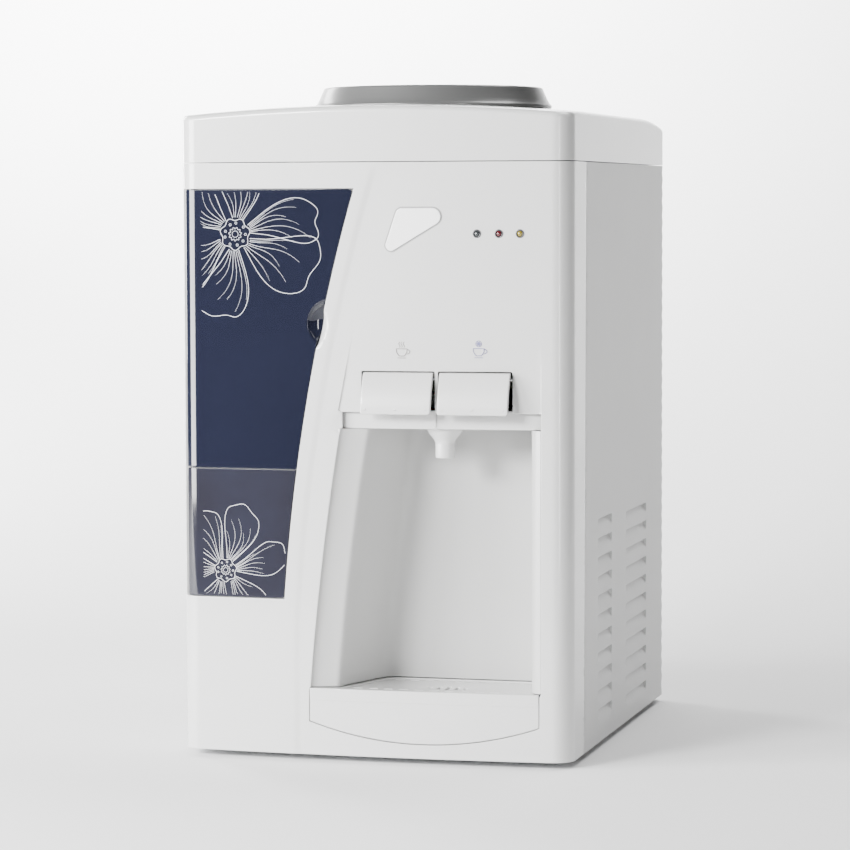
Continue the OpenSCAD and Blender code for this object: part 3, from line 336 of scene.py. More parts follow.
def material(name, base, rough, metal=0.0, coat=0.0, coat_rough=0.1, grain=(900, 0.02), vary=0.02,
             rough_vary=0.04, stretch=(1, 1, 1), bevel=0.0, transmission=0.0, ior=1.5, mottle=12, sub=0.0,
             second=None):
    """Procedural finish: cloudy colour variation, uneven roughness and a fine surface grain."""
    m = bpy.data.materials.new(name)
    m.use_nodes = True
    nt = m.node_tree
    nt.nodes.clear()
    link = nt.links.new

    def node(kind, **values):
        n = nt.nodes.new(kind)
        for k, v in values.items():
            n.inputs[k].default_value = v
        return n

    out = node("ShaderNodeOutputMaterial")
    bsdf = node("ShaderNodeBsdfPrincipled", Metallic=metal)
    bsdf.inputs["Coat Weight"].default_value = coat
    bsdf.inputs["Coat Roughness"].default_value = coat_rough
    bsdf.inputs["Transmission Weight"].default_value = transmission
    bsdf.inputs["IOR"].default_value = ior
    if sub:
        bsdf.inputs["Subsurface Weight"].default_value = sub
        bsdf.inputs["Subsurface Radius"].default_value = (1, 1, 1)
        bsdf.inputs["Subsurface Scale"].default_value = 0.004
    link(bsdf.outputs[0], out.inputs[0])
    coord = node("ShaderNodeTexCoord")
    spread = node("ShaderNodeMapping")
    spread.inputs["Scale"].default_value = stretch
    link(coord.outputs["Object"], spread.inputs["Vector"])
    cloud = node("ShaderNodeTexNoise", Scale=mottle, Detail=4.0, Roughness=0.55)
    link(spread.outputs[0], cloud.inputs["Vector"])
    fine = node("ShaderNodeTexNoise", Scale=grain[0], Detail=3.0, Roughness=0.6)
    link(spread.outputs[0], fine.inputs["Vector"])
    ramp = node("ShaderNodeValToRGB")
    low = [max(0.0, c * (1 - vary)) for c in base]
    high = [min(1.0, c * (1 + vary)) for c in (second or base)]
    ramp.color_ramp.elements[0].position, ramp.color_ramp.elements[1].position = 0.3, 0.7
    ramp.color_ramp.elements[0].color = (*low, 1)
    ramp.color_ramp.elements[1].color = (*high, 1)
    link(cloud.outputs["Fac"], ramp.inputs["Fac"])
    link(ramp.outputs["Color"], bsdf.inputs["Base Color"])
    spans = node("ShaderNodeMapRange")
    spans.inputs["To Min"].default_value = max(0.02, rough - rough_vary)
    spans.inputs["To Max"].default_value = min(1.0, rough + rough_vary)
    link(fine.outputs["Fac"], spans.inputs["Value"])
    link(spans.outputs[0], bsdf.inputs["Roughness"])
    bump = node("ShaderNodeBump", Strength=0.6, Distance=grain[1] * 0.001)
    link(fine.outputs["Fac"], bump.inputs["Height"])
    if bevel:
        soft = nt.nodes.new("ShaderNodeBevel")
        soft.samples = 4
        soft.inputs["Radius"].default_value = bevel * 0.001
        link(soft.outputs[0], bump.inputs["Normal"])
    link(bump.outputs[0], bsdf.inputs["Normal"])
    MAT[name] = m


# Inside of the bay: the shell's white made darker, which paints in the shade that falls in the recess.
material("bay_white", (0.50, 0.50, 0.494), 0.34, coat=0.4, coat_rough=0.12, grain=(1400, 0.012), vary=0.012,
         bevel=0.5, sub=0.03)
material("shell_white", (0.62, 0.62, 0.615), 0.32, coat=0.85, coat_rough=0.09, grain=(1400, 0.012), vary=0.012,
         bevel=0.5, sub=0.03)
# Side sheets: the same white as the front, given a darker grey that paints in the shade the sides stand in.
material("panel_grey", (0.50, 0.50, 0.497), 0.42, grain=(1100, 0.06), vary=0.02, bevel=0.4)
material("collar_grey", (0.100, 0.101, 0.100), 0.36, grain=(1600, 0.02), vary=0.03, coat=0.4, coat_rough=0.16,
         bevel=0.4)
material("tinted_blue", (0.0095, 0.0108, 0.0215), 0.06, coat=0.30, coat_rough=0.03, grain=(500, 0.002), vary=0.05)
material("tinted_smoke", (0.0195, 0.0190, 0.0265), 0.06, coat=0.30, coat_rough=0.03, grain=(500, 0.002), vary=0.04,
         second=(0.021, 0.022, 0.034))
# Grey of the thin ring round the badge, which is a painted shadow line.
material("rim_grey", (0.30, 0.30, 0.30), 0.35, grain=(900, 0.01), vary=0.02)
material("bezel", (0.05, 0.05, 0.055), 0.30, grain=(900, 0.01), vary=0.05)
material("badge_white", (0.98, 0.98, 0.98), 0.18, coat=0.6, coat_rough=0.06, grain=(900, 0.004), vary=0.005)
material("galvanised", (0.55, 0.56, 0.57), 0.36, metal=1.0, grain=(260, 0.03), vary=0.12, mottle=60, bevel=0.3)
material("stainless", (0.62, 0.63, 0.64), 0.26, metal=1.0, grain=(500, 0.02), stretch=(1, 1, 0.06), vary=0.05,
         bevel=0.3)
material("copper_tube", (0.70, 0.33, 0.20), 0.30, metal=1.0, grain=(400, 0.02), vary=0.12, mottle=40,
         second=(0.62, 0.25, 0.13))
material("foam_white", (0.80, 0.78, 0.68), 0.85, grain=(300, 0.5), vary=0.05, mottle=90)
material("silicone", (0.72, 0.72, 0.68), 0.40, grain=(700, 0.01), vary=0.03, sub=0.2)
material("black_rubber", (0.012, 0.012, 0.012), 0.72, grain=(900, 0.08), vary=0.15, bevel=0.4)
material("black_paint", (0.014, 0.014, 0.016), 0.34, coat=0.3, grain=(500, 0.05), vary=0.1, bevel=0.3)
material("black_plastic", (0.018, 0.018, 0.02), 0.45, grain=(1200, 0.05), vary=0.1, bevel=0.3)
material("clear_plastic", (0.80, 0.83, 0.86), 0.12, transmission=0.7, ior=1.46, grain=(600, 0.004), vary=0.02)
material("red_plastic", (0.42, 0.02, 0.015), 0.30, coat=0.3, grain=(900, 0.02), vary=0.05, bevel=0.3)
material("blue_plastic", (0.02, 0.06, 0.30), 0.30, coat=0.3, grain=(900, 0.02), vary=0.05, bevel=0.3)
material("green_plastic", (0.01, 0.22, 0.04), 0.30, coat=0.3, grain=(900, 0.02), vary=0.05, bevel=0.3)
material("amber_lens", (0.22, 0.17, 0.025), 0.16, coat=0.5, coat_rough=0.05, grain=(900, 0.004), vary=0.04)
material("red_lens", (0.085, 0.010, 0.014), 0.16, coat=0.5, coat_rough=0.05, grain=(900, 0.004), vary=0.04)
material("dark_lens", (0.035, 0.040, 0.042), 0.16, coat=0.5, coat_rough=0.05, grain=(900, 0.004), vary=0.04)
material("board_green", (0.01, 0.12, 0.03), 0.50, grain=(700, 0.03), vary=0.1, mottle=200)
material("mica_band", (0.50, 0.34, 0.12), 0.45, metal=0.6, grain=(300, 0.05), vary=0.15, mottle=50)
material("print_white", (0.86, 0.87, 0.90), 0.40, grain=(1500, 0.01), vary=0.02)
material("print_taupe", (0.24, 0.22, 0.21), 0.45, grain=(1500, 0.01), vary=0.03)
material("print_violet", (0.17, 0.165, 0.34), 0.45, grain=(1500, 0.01), vary=0.03)

slots = {p["node"]: p["material_slot"] for p in frame["record"]["subparts"]}
for node_name, ob in frame["nodes"].items():
    ob.data.materials.clear()
    ob.data.materials.append(MAT[slots.get(node_name, "shell_white")])

# ---------------------------------------------------------------- front panel

DOOR_Z0, DOOR_Z1, TRIM_Z0, TRIM_Z1 = 225.2, 439.0, 125.5, 224.6
DOOR_TURN, TRIM_TURN, HOLE_TURN = 38, 41, 58  # degrees round the left corner that each reaches
STEP_LOW, STEP_HIGH = (-26.2, 268.0), (-13.2, 334.0)
STEP_RIGHT = 132.6
STEP_IN = 1.0
LAMPS = (("power", 83.5, "dark_lens"), ("hot", 100.3, "red_lens"), ("cold", 116.3, "amber_lens"))
LAMP_Z = 405.2


def edge_line(arc, z0, z1, grow, n=40):
    """An arc on the front between two heights, in the flat, moved grow to the right."""
    z = np.linspace(z0, z1, n)
    return np.stack([run_of(arc_x(arc, z) + grow), z], -1)


def on_front_line(points):
    p = np.asarray(points, float)
    return np.stack([run_of(p[:, 0]), p[:, 1]], -1)


def upright(u, z0, z1, n):
    """Straight line in the flat, at a fixed run u, with n points."""
    return np.stack([np.full(n, u), np.linspace(z0, z1, n)], -1)


def smooth(t):
    t = np.clip(t, 0, 1)
    return t * t * (3 - 2 * t)


def ball_dip(s, z, x, zc, radius, front):
    """Depth of a ball pressed into the front at (x, zc), its middle in front of the skin."""
    q = radius ** 2 - (s - run_of(x)) ** 2 - (z - zc) ** 2
    return np.maximum(0, np.sqrt(np.maximum(q, 0)) - front)


SCOOP_Z = 337.0
SCOOP_X = float(arc_x(DOOR_ARC, SCOOP_Z))
RIDGE_OFF, RIDGE_IN = 9.0, 0.55


def panel_dip(s, z):
    """Scoop by the door's edge, soft ridge along the door, and the step round the buttons."""
    d = ball_dip(s, z, SCOOP_X - 20, SCOOP_Z, 29.2, 15)
    left = STEP_LOW[0] + (z - STEP_LOW[1]) * (STEP_HIGH[0] - STEP_LOW[0]) / (STEP_HIGH[1] - STEP_LOW[1])
    within = smooth((s - run_of(left) - 0.15) / 0.7) * smooth((run_of(STEP_RIGHT) - s - 0.1) / 0.7)
    fade = smooth((334 - z) / 50)
    past = s - run_of(arc_x(DOOR_ARC, np.maximum(z, TRIM_Z0 - 20)) + RIDGE_OFF)
    ridge = RIDGE_IN * smooth(past / 5.5) * (1 - smooth((past - 6) / 50)) * smooth((458 - z) / 10)
    return d + ridge + STEP_IN * within * fade * (s > run_of(-40)) * (z > 255)


outer = [(-side_run(SEAM_LOW), SHELL_Z0, 0), (side_run(SEAM_LOW), SHELL_Z0, 0),
         (side_run(SEAM_TOP), SHELL_Z1, 0), (-side_run(SEAM_TOP), SHELL_Z1, 0)]
door_hole = np.concatenate([
    edge_line(DOOR_ARC, TRIM_Z0 - SEAM_GAP, DOOR_Z1 + SEAM_GAP, SEAM_GAP),
    [[-turn_run(HOLE_TURN), DOOR_Z1 + SEAM_GAP], [-turn_run(HOLE_TURN), TRIM_Z0 - SEAM_GAP]]])
TRAY_L, TRAY_R, TRAY_CORNER, TRAY_LOW = -49.3, 130.3, 31.5, 16.5
half = (TRAY_R - TRAY_L) / 2
sag = TRAY_CORNER - TRAY_LOW
TRAY_ARC_R = (half ** 2 + sag ** 2) / (2 * sag)


def tray_low(x, grow=0.0):
    """Lower edge of the tray's front, an arc that sags in the middle."""
    return TRAY_LOW - grow + TRAY_ARC_R - np.sqrt(TRAY_ARC_R ** 2 - (np.asarray(x) - (TRAY_L + TRAY_R) / 2) ** 2)


tx = np.linspace(TRAY_L - 0.5, TRAY_R + 0.5, 60)
HOT_X, COLD_X, BUTTON_W = -6.0, 54.0, 55.5  # left edges and width of the buttons
AROUND = 0.9
SLOT_Z0, SLOT_Z1 = 269.7, 301.2
BAY_L, BAY_R = -22.5, 132
hot_l, hot_r = HOT_X - AROUND, HOT_X + BUTTON_W + AROUND
cold_l, cold_r = COLD_X - AROUND, COLD_X + BUTTON_W + AROUND
window = [(BAY_R, SLOT_Z0, 0),
          (cold_r, SLOT_Z0, 0), (cold_r, SLOT_Z1, 1.2), (cold_l, SLOT_Z1, 1.2), (cold_l, SLOT_Z0, 0.5),
          (hot_r, SLOT_Z0, 0.5), (hot_r, SLOT_Z1, 1.2), (hot_l, SLOT_Z1, 1.2), (hot_l, SLOT_Z0, 0),
          (BAY_L, SLOT_Z0, 0.6), (BAY_L, BAY_Z1, 0)]
right_up = [(TRAY_R + 0.5, 55, 0), (BAY_R, 57.5, 1)]
bay_hole = np.concatenate([
    on_front_line(np.stack([tx, tray_low(tx, 0.5)], -1)),
    on_front_line(rounded([(TRAY_R + 0.5, 40, 0)] + right_up + window + [(-40, 200, 0)])[1:-1]),
    edge_line(BAY_ARC, 57.5, 256.9, 0)[::-1],
    on_front_line([(TRAY_L - 0.5, 55)])])
led_holes = [circle(float(run_of(x)), LAMP_Z, 2.7, 28) for _, x, _ in LAMPS]


def cut_line(x0, z0, x1, z1, shift, n=14):
    z = np.linspace(z0, z1, n)
    return on_front_line(np.stack([x0 + (x1 - x0) * (z - z0) / (z1 - z0) + shift, z], -1))


def uprights(turns, z0, z1, n=70):
    """Straight lines up the plate at given turns of the corner, so that its highlight runs true."""
    return [upright(math.copysign(turn_run(abs(t)), t), z0, z1, n) for t in turns]


panel_lines = uprights(range(-54, 0, 4), 7.5, TRIM_Z0 - 3.5, 50) + uprights(range(-54, 0, 4), DOOR_Z1 + 3.0, 457.5, 14)
panel_lines += uprights(range(3, 88, 4), 7.5, 457.5, 130)
for shift in (-1.5, 0.0, 1.5, 3.0, 4.5, 6.0):
    zz = np.linspace(8, 456, 140)
    panel_lines.append(np.stack([run_of(arc_x(DOOR_ARC, np.maximum(zz, TRIM_Z0 - 20)) + RIDGE_OFF) + shift, zz], -1))
for shift in (0.1, 0.5, 0.9):
    panel_lines.append(cut_line(STEP_LOW[0] + 0.6, 271.0, STEP_HIGH[0] - 0.5, 331.5, shift))
for shift in (0.0, -0.35):
    panel_lines.append(cut_line(132.45, 271.0, 132.45, 333.0, shift))
v, f = slab([rounded(outer), door_hole, bay_hole] + led_holes, SKIN_T, 0.5, on_skin, step=5.0, dip=panel_dip,
            zones=[(float(run_of(SCOOP_X - 20)), SCOOP_Z, 29, 1.6), (float(run_of(-18)), 300, 12, 2.5)],
            lines=panel_lines, edge_step=2.5)
add("front_shell", v, f, "shell_white", stands_for="front_panel", crease=40)

# ---------------------------------------------------------------- tinted door and trim


def door_dip(s, z):
    return ball_dip(s, z, SCOOP_X + 7.5, SCOOP_Z, 21.6, 12)


def door_outline(z0, z1, turn_at, r_top, r_low):
    right = edge_line(DOOR_ARC, z0, z1, 0, 60)
    pts = [(right[0][0], right[0][1], r_low)] + [(p[0], p[1], 0) for p in right[3:-3]]
    pts += [(right[-1][0], right[-1][1], r_top), (-turn_run(turn_at), z1, 0.8), (-turn_run(turn_at), z0, 0.8)]
    return rounded(pts)


BARREL_R, HINGE_TURN = 4.4, math.radians(DOOR_TURN)
hinge = (-CORNER_X - (CORNER_R - BARREL_R) * math.sin(HINGE_TURN),
         CORNER_Y - (CORNER_R - BARREL_R) * math.cos(HINGE_TURN))


def door_place(s, z, d):
    """The outer skin, which rolls up round the hinge pin at the left."""
    p = on_skin(s, z, d)
    over = -np.asarray(s) - turn_run(DOOR_TURN)
    phi = HINGE_TURN + np.maximum(over, 0) / BARREL_R
    rolled = np.stack([hinge[0] - (BARREL_R - d) * np.sin(phi),
                       hinge[1] - (BARREL_R - d) * np.cos(phi), p[..., 2]], -1)
    return np.where((over > 0)[..., None], rolled, p)


door_loop = door_outline(DOOR_Z0, DOOR_Z1, DOOR_TURN, 3.0, 0.8)
roll = np.array(door_loop)
roll[roll[:, 0] < -turn_run(DOOR_TURN - 1), 0] -= BARREL_R * math.radians(215)
barrel_lines = [upright(-(turn_run(DOOR_TURN) + a), DOOR_Z0 + 1.5, DOOR_Z1 - 1.5, 60)
                for a in (0, 1.2, 2.4, 3.6, 4.8, 6.0, 7.2, 9.0, 11.0, 13.0)]
v, f = slab([roll], 2.7, 0.3, door_place, step=5.0, dip=door_dip,
            zones=[(float(run_of(SCOOP_X)), SCOOP_Z, 22, 1.1)], edge_step=1.2,
            lines=barrel_lines + uprights(range(-36, 0, 2), DOOR_Z0 + 1.5, DOOR_Z1 - 1.5, 60))
add("tinted_door", v, f, "tinted_blue", body="door", stands_for="cabinet_door", crease=40)

# Blind pocket behind the liner's notch, which takes the finger scoop's back
rim = np.array(rounded([(-54.2, 313.2, 2), (-23.4, 313.2, 2), (-23.4, 360.8, 2), (-54.2, 360.8, 2)]))
mid = rim.mean(0)
inner = mid + (rim - mid) * 0.95
pocket = [on_skin(run_of(q[:, 0]), q[:, 1], np.full(len(q), depth))
          for q, depth in ((rim, 19.5), (rim, 5.7), (inner, 5.7), (inner, 18.3))]
add("scoop_pocket", *loft(pocket, caps=True), "shell_white", crease=40)

trim_loop = door_outline(TRIM_Z0, TRIM_Z1, TRIM_TURN, 0.8, 1.5)
v, f = slab([trim_loop], SKIN_T, 0.3, on_skin, step=5.0, edge_step=1.2,
            lines=uprights(range(-39, 0, 2), TRIM_Z0 + 1.5, TRIM_Z1 - 1.5, 36))
add("tinted_trim", v, f, "tinted_smoke", stands_for="lower_trim_panel", crease=40)


# ---------------------------------------------------------------- printed flowers

def flower(cx, cz, size, petals, seed):
    """Line drawing of an open flower: strokes of (points, widths) in the flat.
    A petal is (angle, half width, reach, lean), with angles in degrees."""
    rnd = random.Random(seed)
    strokes = []

    def at(r, a):
        return (cx + size * r * math.cos(a), cz + size * r * math.sin(a))

    for mid, spread, reach, lean in petals:
        mid, spread, lean = math.radians(mid), math.radians(spread), math.radians(lean)
        wave = [rnd.uniform(0, 6.28) for _ in range(4)]

        def rim(t):
            r = 0.20 + (reach - 0.20) * (1 - abs(t) ** 3.2) ** 0.60
            return r + 0.030 * (math.sin(5 * t + wave[0]) + 0.6 * math.sin(11 * t + wave[1])) * (1 - t ** 4)

        def angle(t, w):
            return mid + spread * t * (0.35 + 0.80 * w ** 0.8 - 0.18 * w ** 3) + lean * w ** 1.6

        outline = [at(rim(t), angle(t, min(1.0, rim(t) / reach))) for t in np.linspace(-1, 1, 72)]
        strokes.append((outline, [0.22] * len(outline)))
        bow = rnd.choice([-1, 1]) * rnd.uniform(0.10, 0.16)
        for j in range(6):
            t = -0.74 + 1.48 * j / 5 + rnd.uniform(-0.05, 0.05)
            end = 0.22 + (rim(t) - 0.22) * rnd.choice([0.55, 0.74, 0.92])
            ks = np.linspace(0, 1, 26)
            line = []
            for w in ks:
                r = 0.21 + (end - 0.21) * w
                line.append(at(r, angle(t, r / reach) + bow * math.sin(math.pi * w) * (1 - abs(t) ** 2)))
            strokes.append((line, [0.18 - 0.10 * w for w in ks]))
    turns = np.linspace(0, 2 * math.pi, 61)
    strokes.append(([at(0.185 * (1 + 0.09 * math.sin(7 * a)), a) for a in turns], [0.24] * 61))
    strokes.append(([at(0.075 * (1 + 0.16 * math.sin(11 * a)), a) for a in turns], [0.18] * 61))
    strokes.append(([at(0.040, a) for a in turns[::3]], [0.15] * 21))
    for k in range(9):
        a = 2 * math.pi * k / 9 + rnd.uniform(-0.1, 0.1)
        r = 0.130 + 0.012 * rnd.random()
        dot = [(cx + size * (r * math.cos(a) + 0.014 * math.cos(b)),
                cz + size * (r * math.sin(a) + 0.014 * math.sin(b))) for b in np.linspace(0, 2 * math.pi, 11)]
        strokes.append((dot, [0.17] * 11))
    return strokes


def draw(strokes, outline, name, body):
    """Strokes as thin threads on the skin, cut off near the edge of a plate's outline."""
    printed = np.array(outline)
    printed[:, 0] = np.maximum(printed[:, 0], -run_of(PRINT_LIMIT))
    region = inset(dense(printed, 2), 1.3)
    parts = []
    for line, width in strokes:
        p = np.array(line, float)
        p[:, 0] = np.where(np.abs(p[:, 0]) < CORNER_X, run_of(np.clip(p[:, 0], -150, 150)), p[:, 0])
        keep = inside(p, [region])
        start = None
        for k in range(len(p) + 1):
            if k < len(p) and keep[k]:
                start = k if start is None else start
                continue
            if start is not None and k - start > 2:
                q = p[start:k]
                parts.append(wire(on_skin(q[:, 0], q[:, 1], np.full(len(q), 0.06)), np.array(width[start:k])))
            start = None
    return add(name, *joined(*parts), "print_white", body=body, crease=60, weighted=False)


upper = [(78, 34, 0.92, 10), (20, 27, 1.10, -12), (-36, 36, 1.14, 14), (-94, 33, 1.06, -12), (-150, 31, 1.0, 8),
         (146, 33, 0.9, -6)]
draw(flower(-107.7, 405.0, 62.0, upper, 4), door_loop, "door_flower", "door")
lower = [(122, 33, 1.02, -6), (64, 31, 1.12, 8), (10, 27, 1.10, 8), (-48, 35, 1.04, -8), (-112, 34, 0.95, 4),
         (178, 31, 0.9, 0)]
draw(flower(-117.5, 146.0, 46.0, lower, 9), trim_loop, "trim_flower", "housing")


# ---------------------------------------------------------------- top cover

def plan_outline(back_r, n=10):
    s = np.concatenate([np.linspace(-S2, -S1, 14), np.linspace(-S1, S1, 60)[1:-1], np.linspace(S1, S2, 14)])
    p = on_skin(s, 0 * s, 0 * s)[:, :2]
    a = np.linspace(0, math.pi / 2, n)
    right = np.stack([HALF_W - back_r + back_r * np.cos(a), REAR_Y - back_r + back_r * np.sin(a)], -1)
    left = right[::-1] * [-1, 1]
    return np.concatenate([p, right, left])


def cover_top(x, y):
    """Height of the lid: arched across, falling to the front and the back, with a rolled rear edge."""
    z = 504.0 - x ** 2 / 3500.0
    ahead = np.clip(1 - (y - front_y(np.clip(x, -150, 150))) / 42, 0, 1)
    behind = np.clip(1 - (REAR_Y - y) / 90, 0, 1)
    lip = np.clip(9 - (REAR_Y - y), 0, 9)
    return z - 2.2 * ahead ** 2 - 6.5 * behind ** 2 - (9 - np.sqrt(81 - lip ** 2))


COVER_T = 40


def cover_place(x, y, d):
    z = np.where(d > COVER_T / 2, SHELL_Z1 + SEAM_GAP, cover_top(x, y) - d)
    return np.stack([x, y, z], -1)


v, f = slab([plan_outline(9), circle(0, 0, 90, 96)], COVER_T, 4.0, cover_place, step=6, rings=6, edge_step=3)
add("cover_dome", v, f, "shell_white", stands_for="top_cover", crease=50)

# ---------------------------------------------------------------- bottle seat

# Section of the seat: up the outside of the neck socket and funnel, over the collar, back down the inside
seat_profile = [
    (27.5, 441.0), (30.0, 441.0), (30.0, 477), (48, 485), (77, 487), (86, 492), (86, 504.2),
    (94.6, 504.2), (95.7, 504.6), (96.0, 505.4), (95.9, 506.6), (95.2, 507.6), (94.4, 508.2),
    (92.6, 511.5), (90.6, 516.0), (89.2, 519.2), (88.9, 520.2), (88.2, 520.9), (87.3, 521.2),
    (86.2, 521.1), (85.4, 520.6), (85.0, 519.8), (84.6, 517), (83.4, 509), (81.6, 499.6),
    (80.4, 496.2), (78.4, 493.4), (75.6, 491.4), (72.0, 490.2), (66.0, 489.6), (50.0, 488.4),
    (46.0, 487.6), (42.0, 486.2), (32.0, 481.0), (29.4, 479.2), (28.0, 477.4), (27.5, 475.2)]
add("bottle_collar", *lathe(seat_profile, 0, 0, 160), "collar_grey", body="seat",
    stands_for="bottle_seat", crease=30)


# ---------------------------------------------------------------- side panels

REAR_FLAT = REAR_Y - REAR_R  # where the rear corner's bend starts, as a run along the side
REAR_SEAM = REAR_FLAT + REAR_R * math.pi / 2
JOG_W, JOG_IN, FLANGE_W = 0.5, 1.5, 14


def side_place(side):
    """The side sheet: flat, round the rear corner, then a flange jogged in behind the rear panel."""
    def place(u, z, d):
        a = np.clip((u - REAR_FLAT) / REAR_R, 0, math.pi / 2)
        over = np.maximum(u - REAR_SEAM, 0)
        x = np.where(u < REAR_FLAT, HALF_W - d, HALF_W - REAR_R + (REAR_R - d) * np.cos(a)) - over
        y = np.where(u < REAR_FLAT, u, REAR_FLAT + (REAR_R - d) * np.sin(a)) - JOG_IN * smooth(over / JOG_W)
        return np.stack([side * x, y, z], -1)
    return place


LOUVRES = [(y0, y1, zc + 15 * i) for y0, y1, zc in ((-88, -35, 24), (22, 107, 20)) for i in range(11)]
LOUVRE_H, LOUVRE_IN = 8.0, 3.6
RIBS = (-98, 12, 150)
RIB_HALF, RIB_OUT, RIB_TOP = 4.5, 0.55, 431


def side_dip(u, z):
    d = np.zeros_like(u)
    for y in RIBS:
        t = np.clip(1 - ((u - y) / RIB_HALF) ** 2, 0, 1)
        d = d - RIB_OUT * t ** 1.5 * smooth((RIB_TOP - z) / 8)
    for y0, y1, zb in LOUVRES:
        up = np.clip((z - zb) / 7.6, 0, 1) * (z < zb + LOUVRE_H)
        d = np.maximum(d, LOUVRE_IN * up * smooth((u - y0) / 0.8) * smooth((y1 - u) / 0.8))
    return d


def side_lines():
    out = []
    for y0, y1, zb in LOUVRES:
        us = np.linspace(y0, y1, 9)
        for z in (zb, zb + LOUVRE_H - 0.3, zb + LOUVRE_H):
            out.append(np.stack([us, np.full(9, z)], -1))
        out += [upright(y, zb + 0.9, zb + 6.8, 5) for y in (y0, y0 + 0.8, y1 - 0.8, y1)]
    out += [upright(y + off, 7, 432, 86) for y in RIBS for off in (-4.5, -3, -1.5, 0, 1.5, 3, 4.5)]
    out += [upright(REAR_SEAM + off, 6.5, 458.3, 76) for off in (0, JOG_W / 2, JOG_W)]
    return out


# The side sheets take panel_grey, whose darkness is painted shade.
for side, name in ((-1, "left"), (1, "right")):
    side_end = REAR_SEAM + FLANGE_W
    loop = [(SEAM_LOW + SEAM_GAP, SHELL_Z0, 0), (side_end, SHELL_Z0, 0),
            (side_end, SHELL_Z1, 0), (SEAM_TOP + SEAM_GAP, SHELL_Z1, 0)]
    v, f = slab([rounded(loop)], SHEET_T, 0.4, side_place(side), step=7, dip=side_dip, lines=side_lines(), edge_step=3)
    if side < 0:
        f = [tuple(reversed(q)) for q in f]
    add(name + "_side", v, f, "panel_grey", stands_for=name + "_side_panel", crease=40)


# ---------------------------------------------------------------- bay

def bay_plan(x0):
    """Inside of the bay in plan, from the left front round to the right front, as a smooth path."""
    y0 = float(front_y(x0))
    flare = [(0.2, 0.4), (1.5, 2.4), (5.0, 4.2), (10, 5.9), (15, 7.4), (18.4, 8.3)]
    crease = [(20.0, 8.9), (21.2, 10.3), (22.3, 13.0)]
    wall = [(23.6, 17.5), (25.8, 25.5), (29.6, 36.5), (34.2, 49.5), (38.6, 61.5), (41.0, 66.8)]
    pts = [(x0 + x, y0 + y) for x, y in flare + crease + wall]
    pts += [(x0 + 44.6, BAY_BACK - 2.4), (x0 + 50.5, BAY_BACK - 0.3), (x0 + 58, BAY_BACK)]
    x1 = 123.0
    pts += [(x, BAY_BACK) for x in np.linspace(x0 + 72, x1 - 14, 5)]
    pts += [(x1 - 8, BAY_BACK - 0.4), (x1 - 3.2, BAY_BACK - 3.2), (x1 - 0.5, BAY_BACK - 8), (x1, BAY_BACK - 14)]
    y1 = float(front_y(x1)) + 11
    pts += [(x1, y) for y in np.linspace(BAY_BACK - 24, y1 + 8, 4)]
    pts += [(x1, y1), (x1 + 0.5, y1 - 3.0), (x1 + 2.0, y1 - 5.6), (x1 + 4.2, y1 - 7.6), (x1 + 6.8, y1 - 8.8),
            (x1 + 8.6, y1 - 9.5)]
    return np.array(pts)


def resample(p, n):
    d = np.concatenate([[0], np.cumsum(np.linalg.norm(np.diff(p, axis=0), axis=1))])
    t = np.linspace(0, d[-1], n)
    return np.stack([np.interp(t, d, p[:, 0]), np.interp(t, d, p[:, 1])], -1)


def catmull(p, n=5):
    """Smooth curve through points, with n steps from each to the next."""
    out = []
    for i in range(len(p) - 1):
        a, b, c, d = p[max(i - 1, 0)], p[i], p[i + 1], p[min(i + 2, len(p) - 1)]
        for k in range(n):
            t = k / n
            out.append(0.5 * (2 * b + (c - a) * t + (2 * a - 5 * b + 4 * c - d) * t * t
                              + (3 * b - a - 3 * c + d) * t ** 3))
    out.append(p[-1])
    return np.array(out)


def path_normal(p):
    d = unit(np.gradient(p, axis=0))
    return np.stack([-d[:, 1], d[:, 0]], -1)


BAY_WALL = 2.3
rings = []
for z in np.linspace(BAY_Z0 + SEAM_GAP, BAY_Z1 - 0.2, 34):
    path = resample(catmull(bay_plan(float(arc_x(BAY_ARC, z)))), 150)
    back = path + path_normal(path) * BAY_WALL
    ring = np.concatenate([path, back[::-1]])
    rings.append(np.column_stack([ring, np.full(len(ring), z)]))
v, f = loft(rings)
f = [tuple(reversed(q)) for q in f]
# End faces, as quads between the wall's inside and outside
n_ring = len(rings[0])
half_ring = n_ring // 2
for base, flip in ((0, False), ((len(rings) - 1) * n_ring, True)):
    for k in range(half_ring - 1):
        quad = (base + k, base + k + 1, base + n_ring - 2 - k, base + n_ring - 1 - k)
        f.append(tuple(reversed(quad)) if flip else quad)
# The bay's walls take the darker white: painted shade of the recess.
add("bay_shell", v, f, "bay_white", stands_for="bay_liner", crease=50)

# ---------------------------------------------------------------- buttons

TOP_Y, NOSE_Y = float(front_y(0)) + 0.2, -201.5
BUTTON_Z0, BUTTON_Z1 = 268.8, 300.2


def button_place(x, z, d):
    """A flap that curves out from the front at its top to its nose at the bottom."""
    t = np.clip((BUTTON_Z1 - z) / (BUTTON_Z1 - BUTTON_Z0), 0, 1)
    face = TOP_Y - (TOP_Y - NOSE_Y) * (1 - (1 - t) ** 1.7)
    return np.stack([x, face + d, z + 0.10 * d * (1 - t)], -1)


def upright_plate(side_view, x, thick):
    """Flat plate across X, from its outline as (y, z)."""
    return loft([[(x, y, z) for y, z in side_view], [(x + thick, y, z) for y, z in side_view]], caps=True)


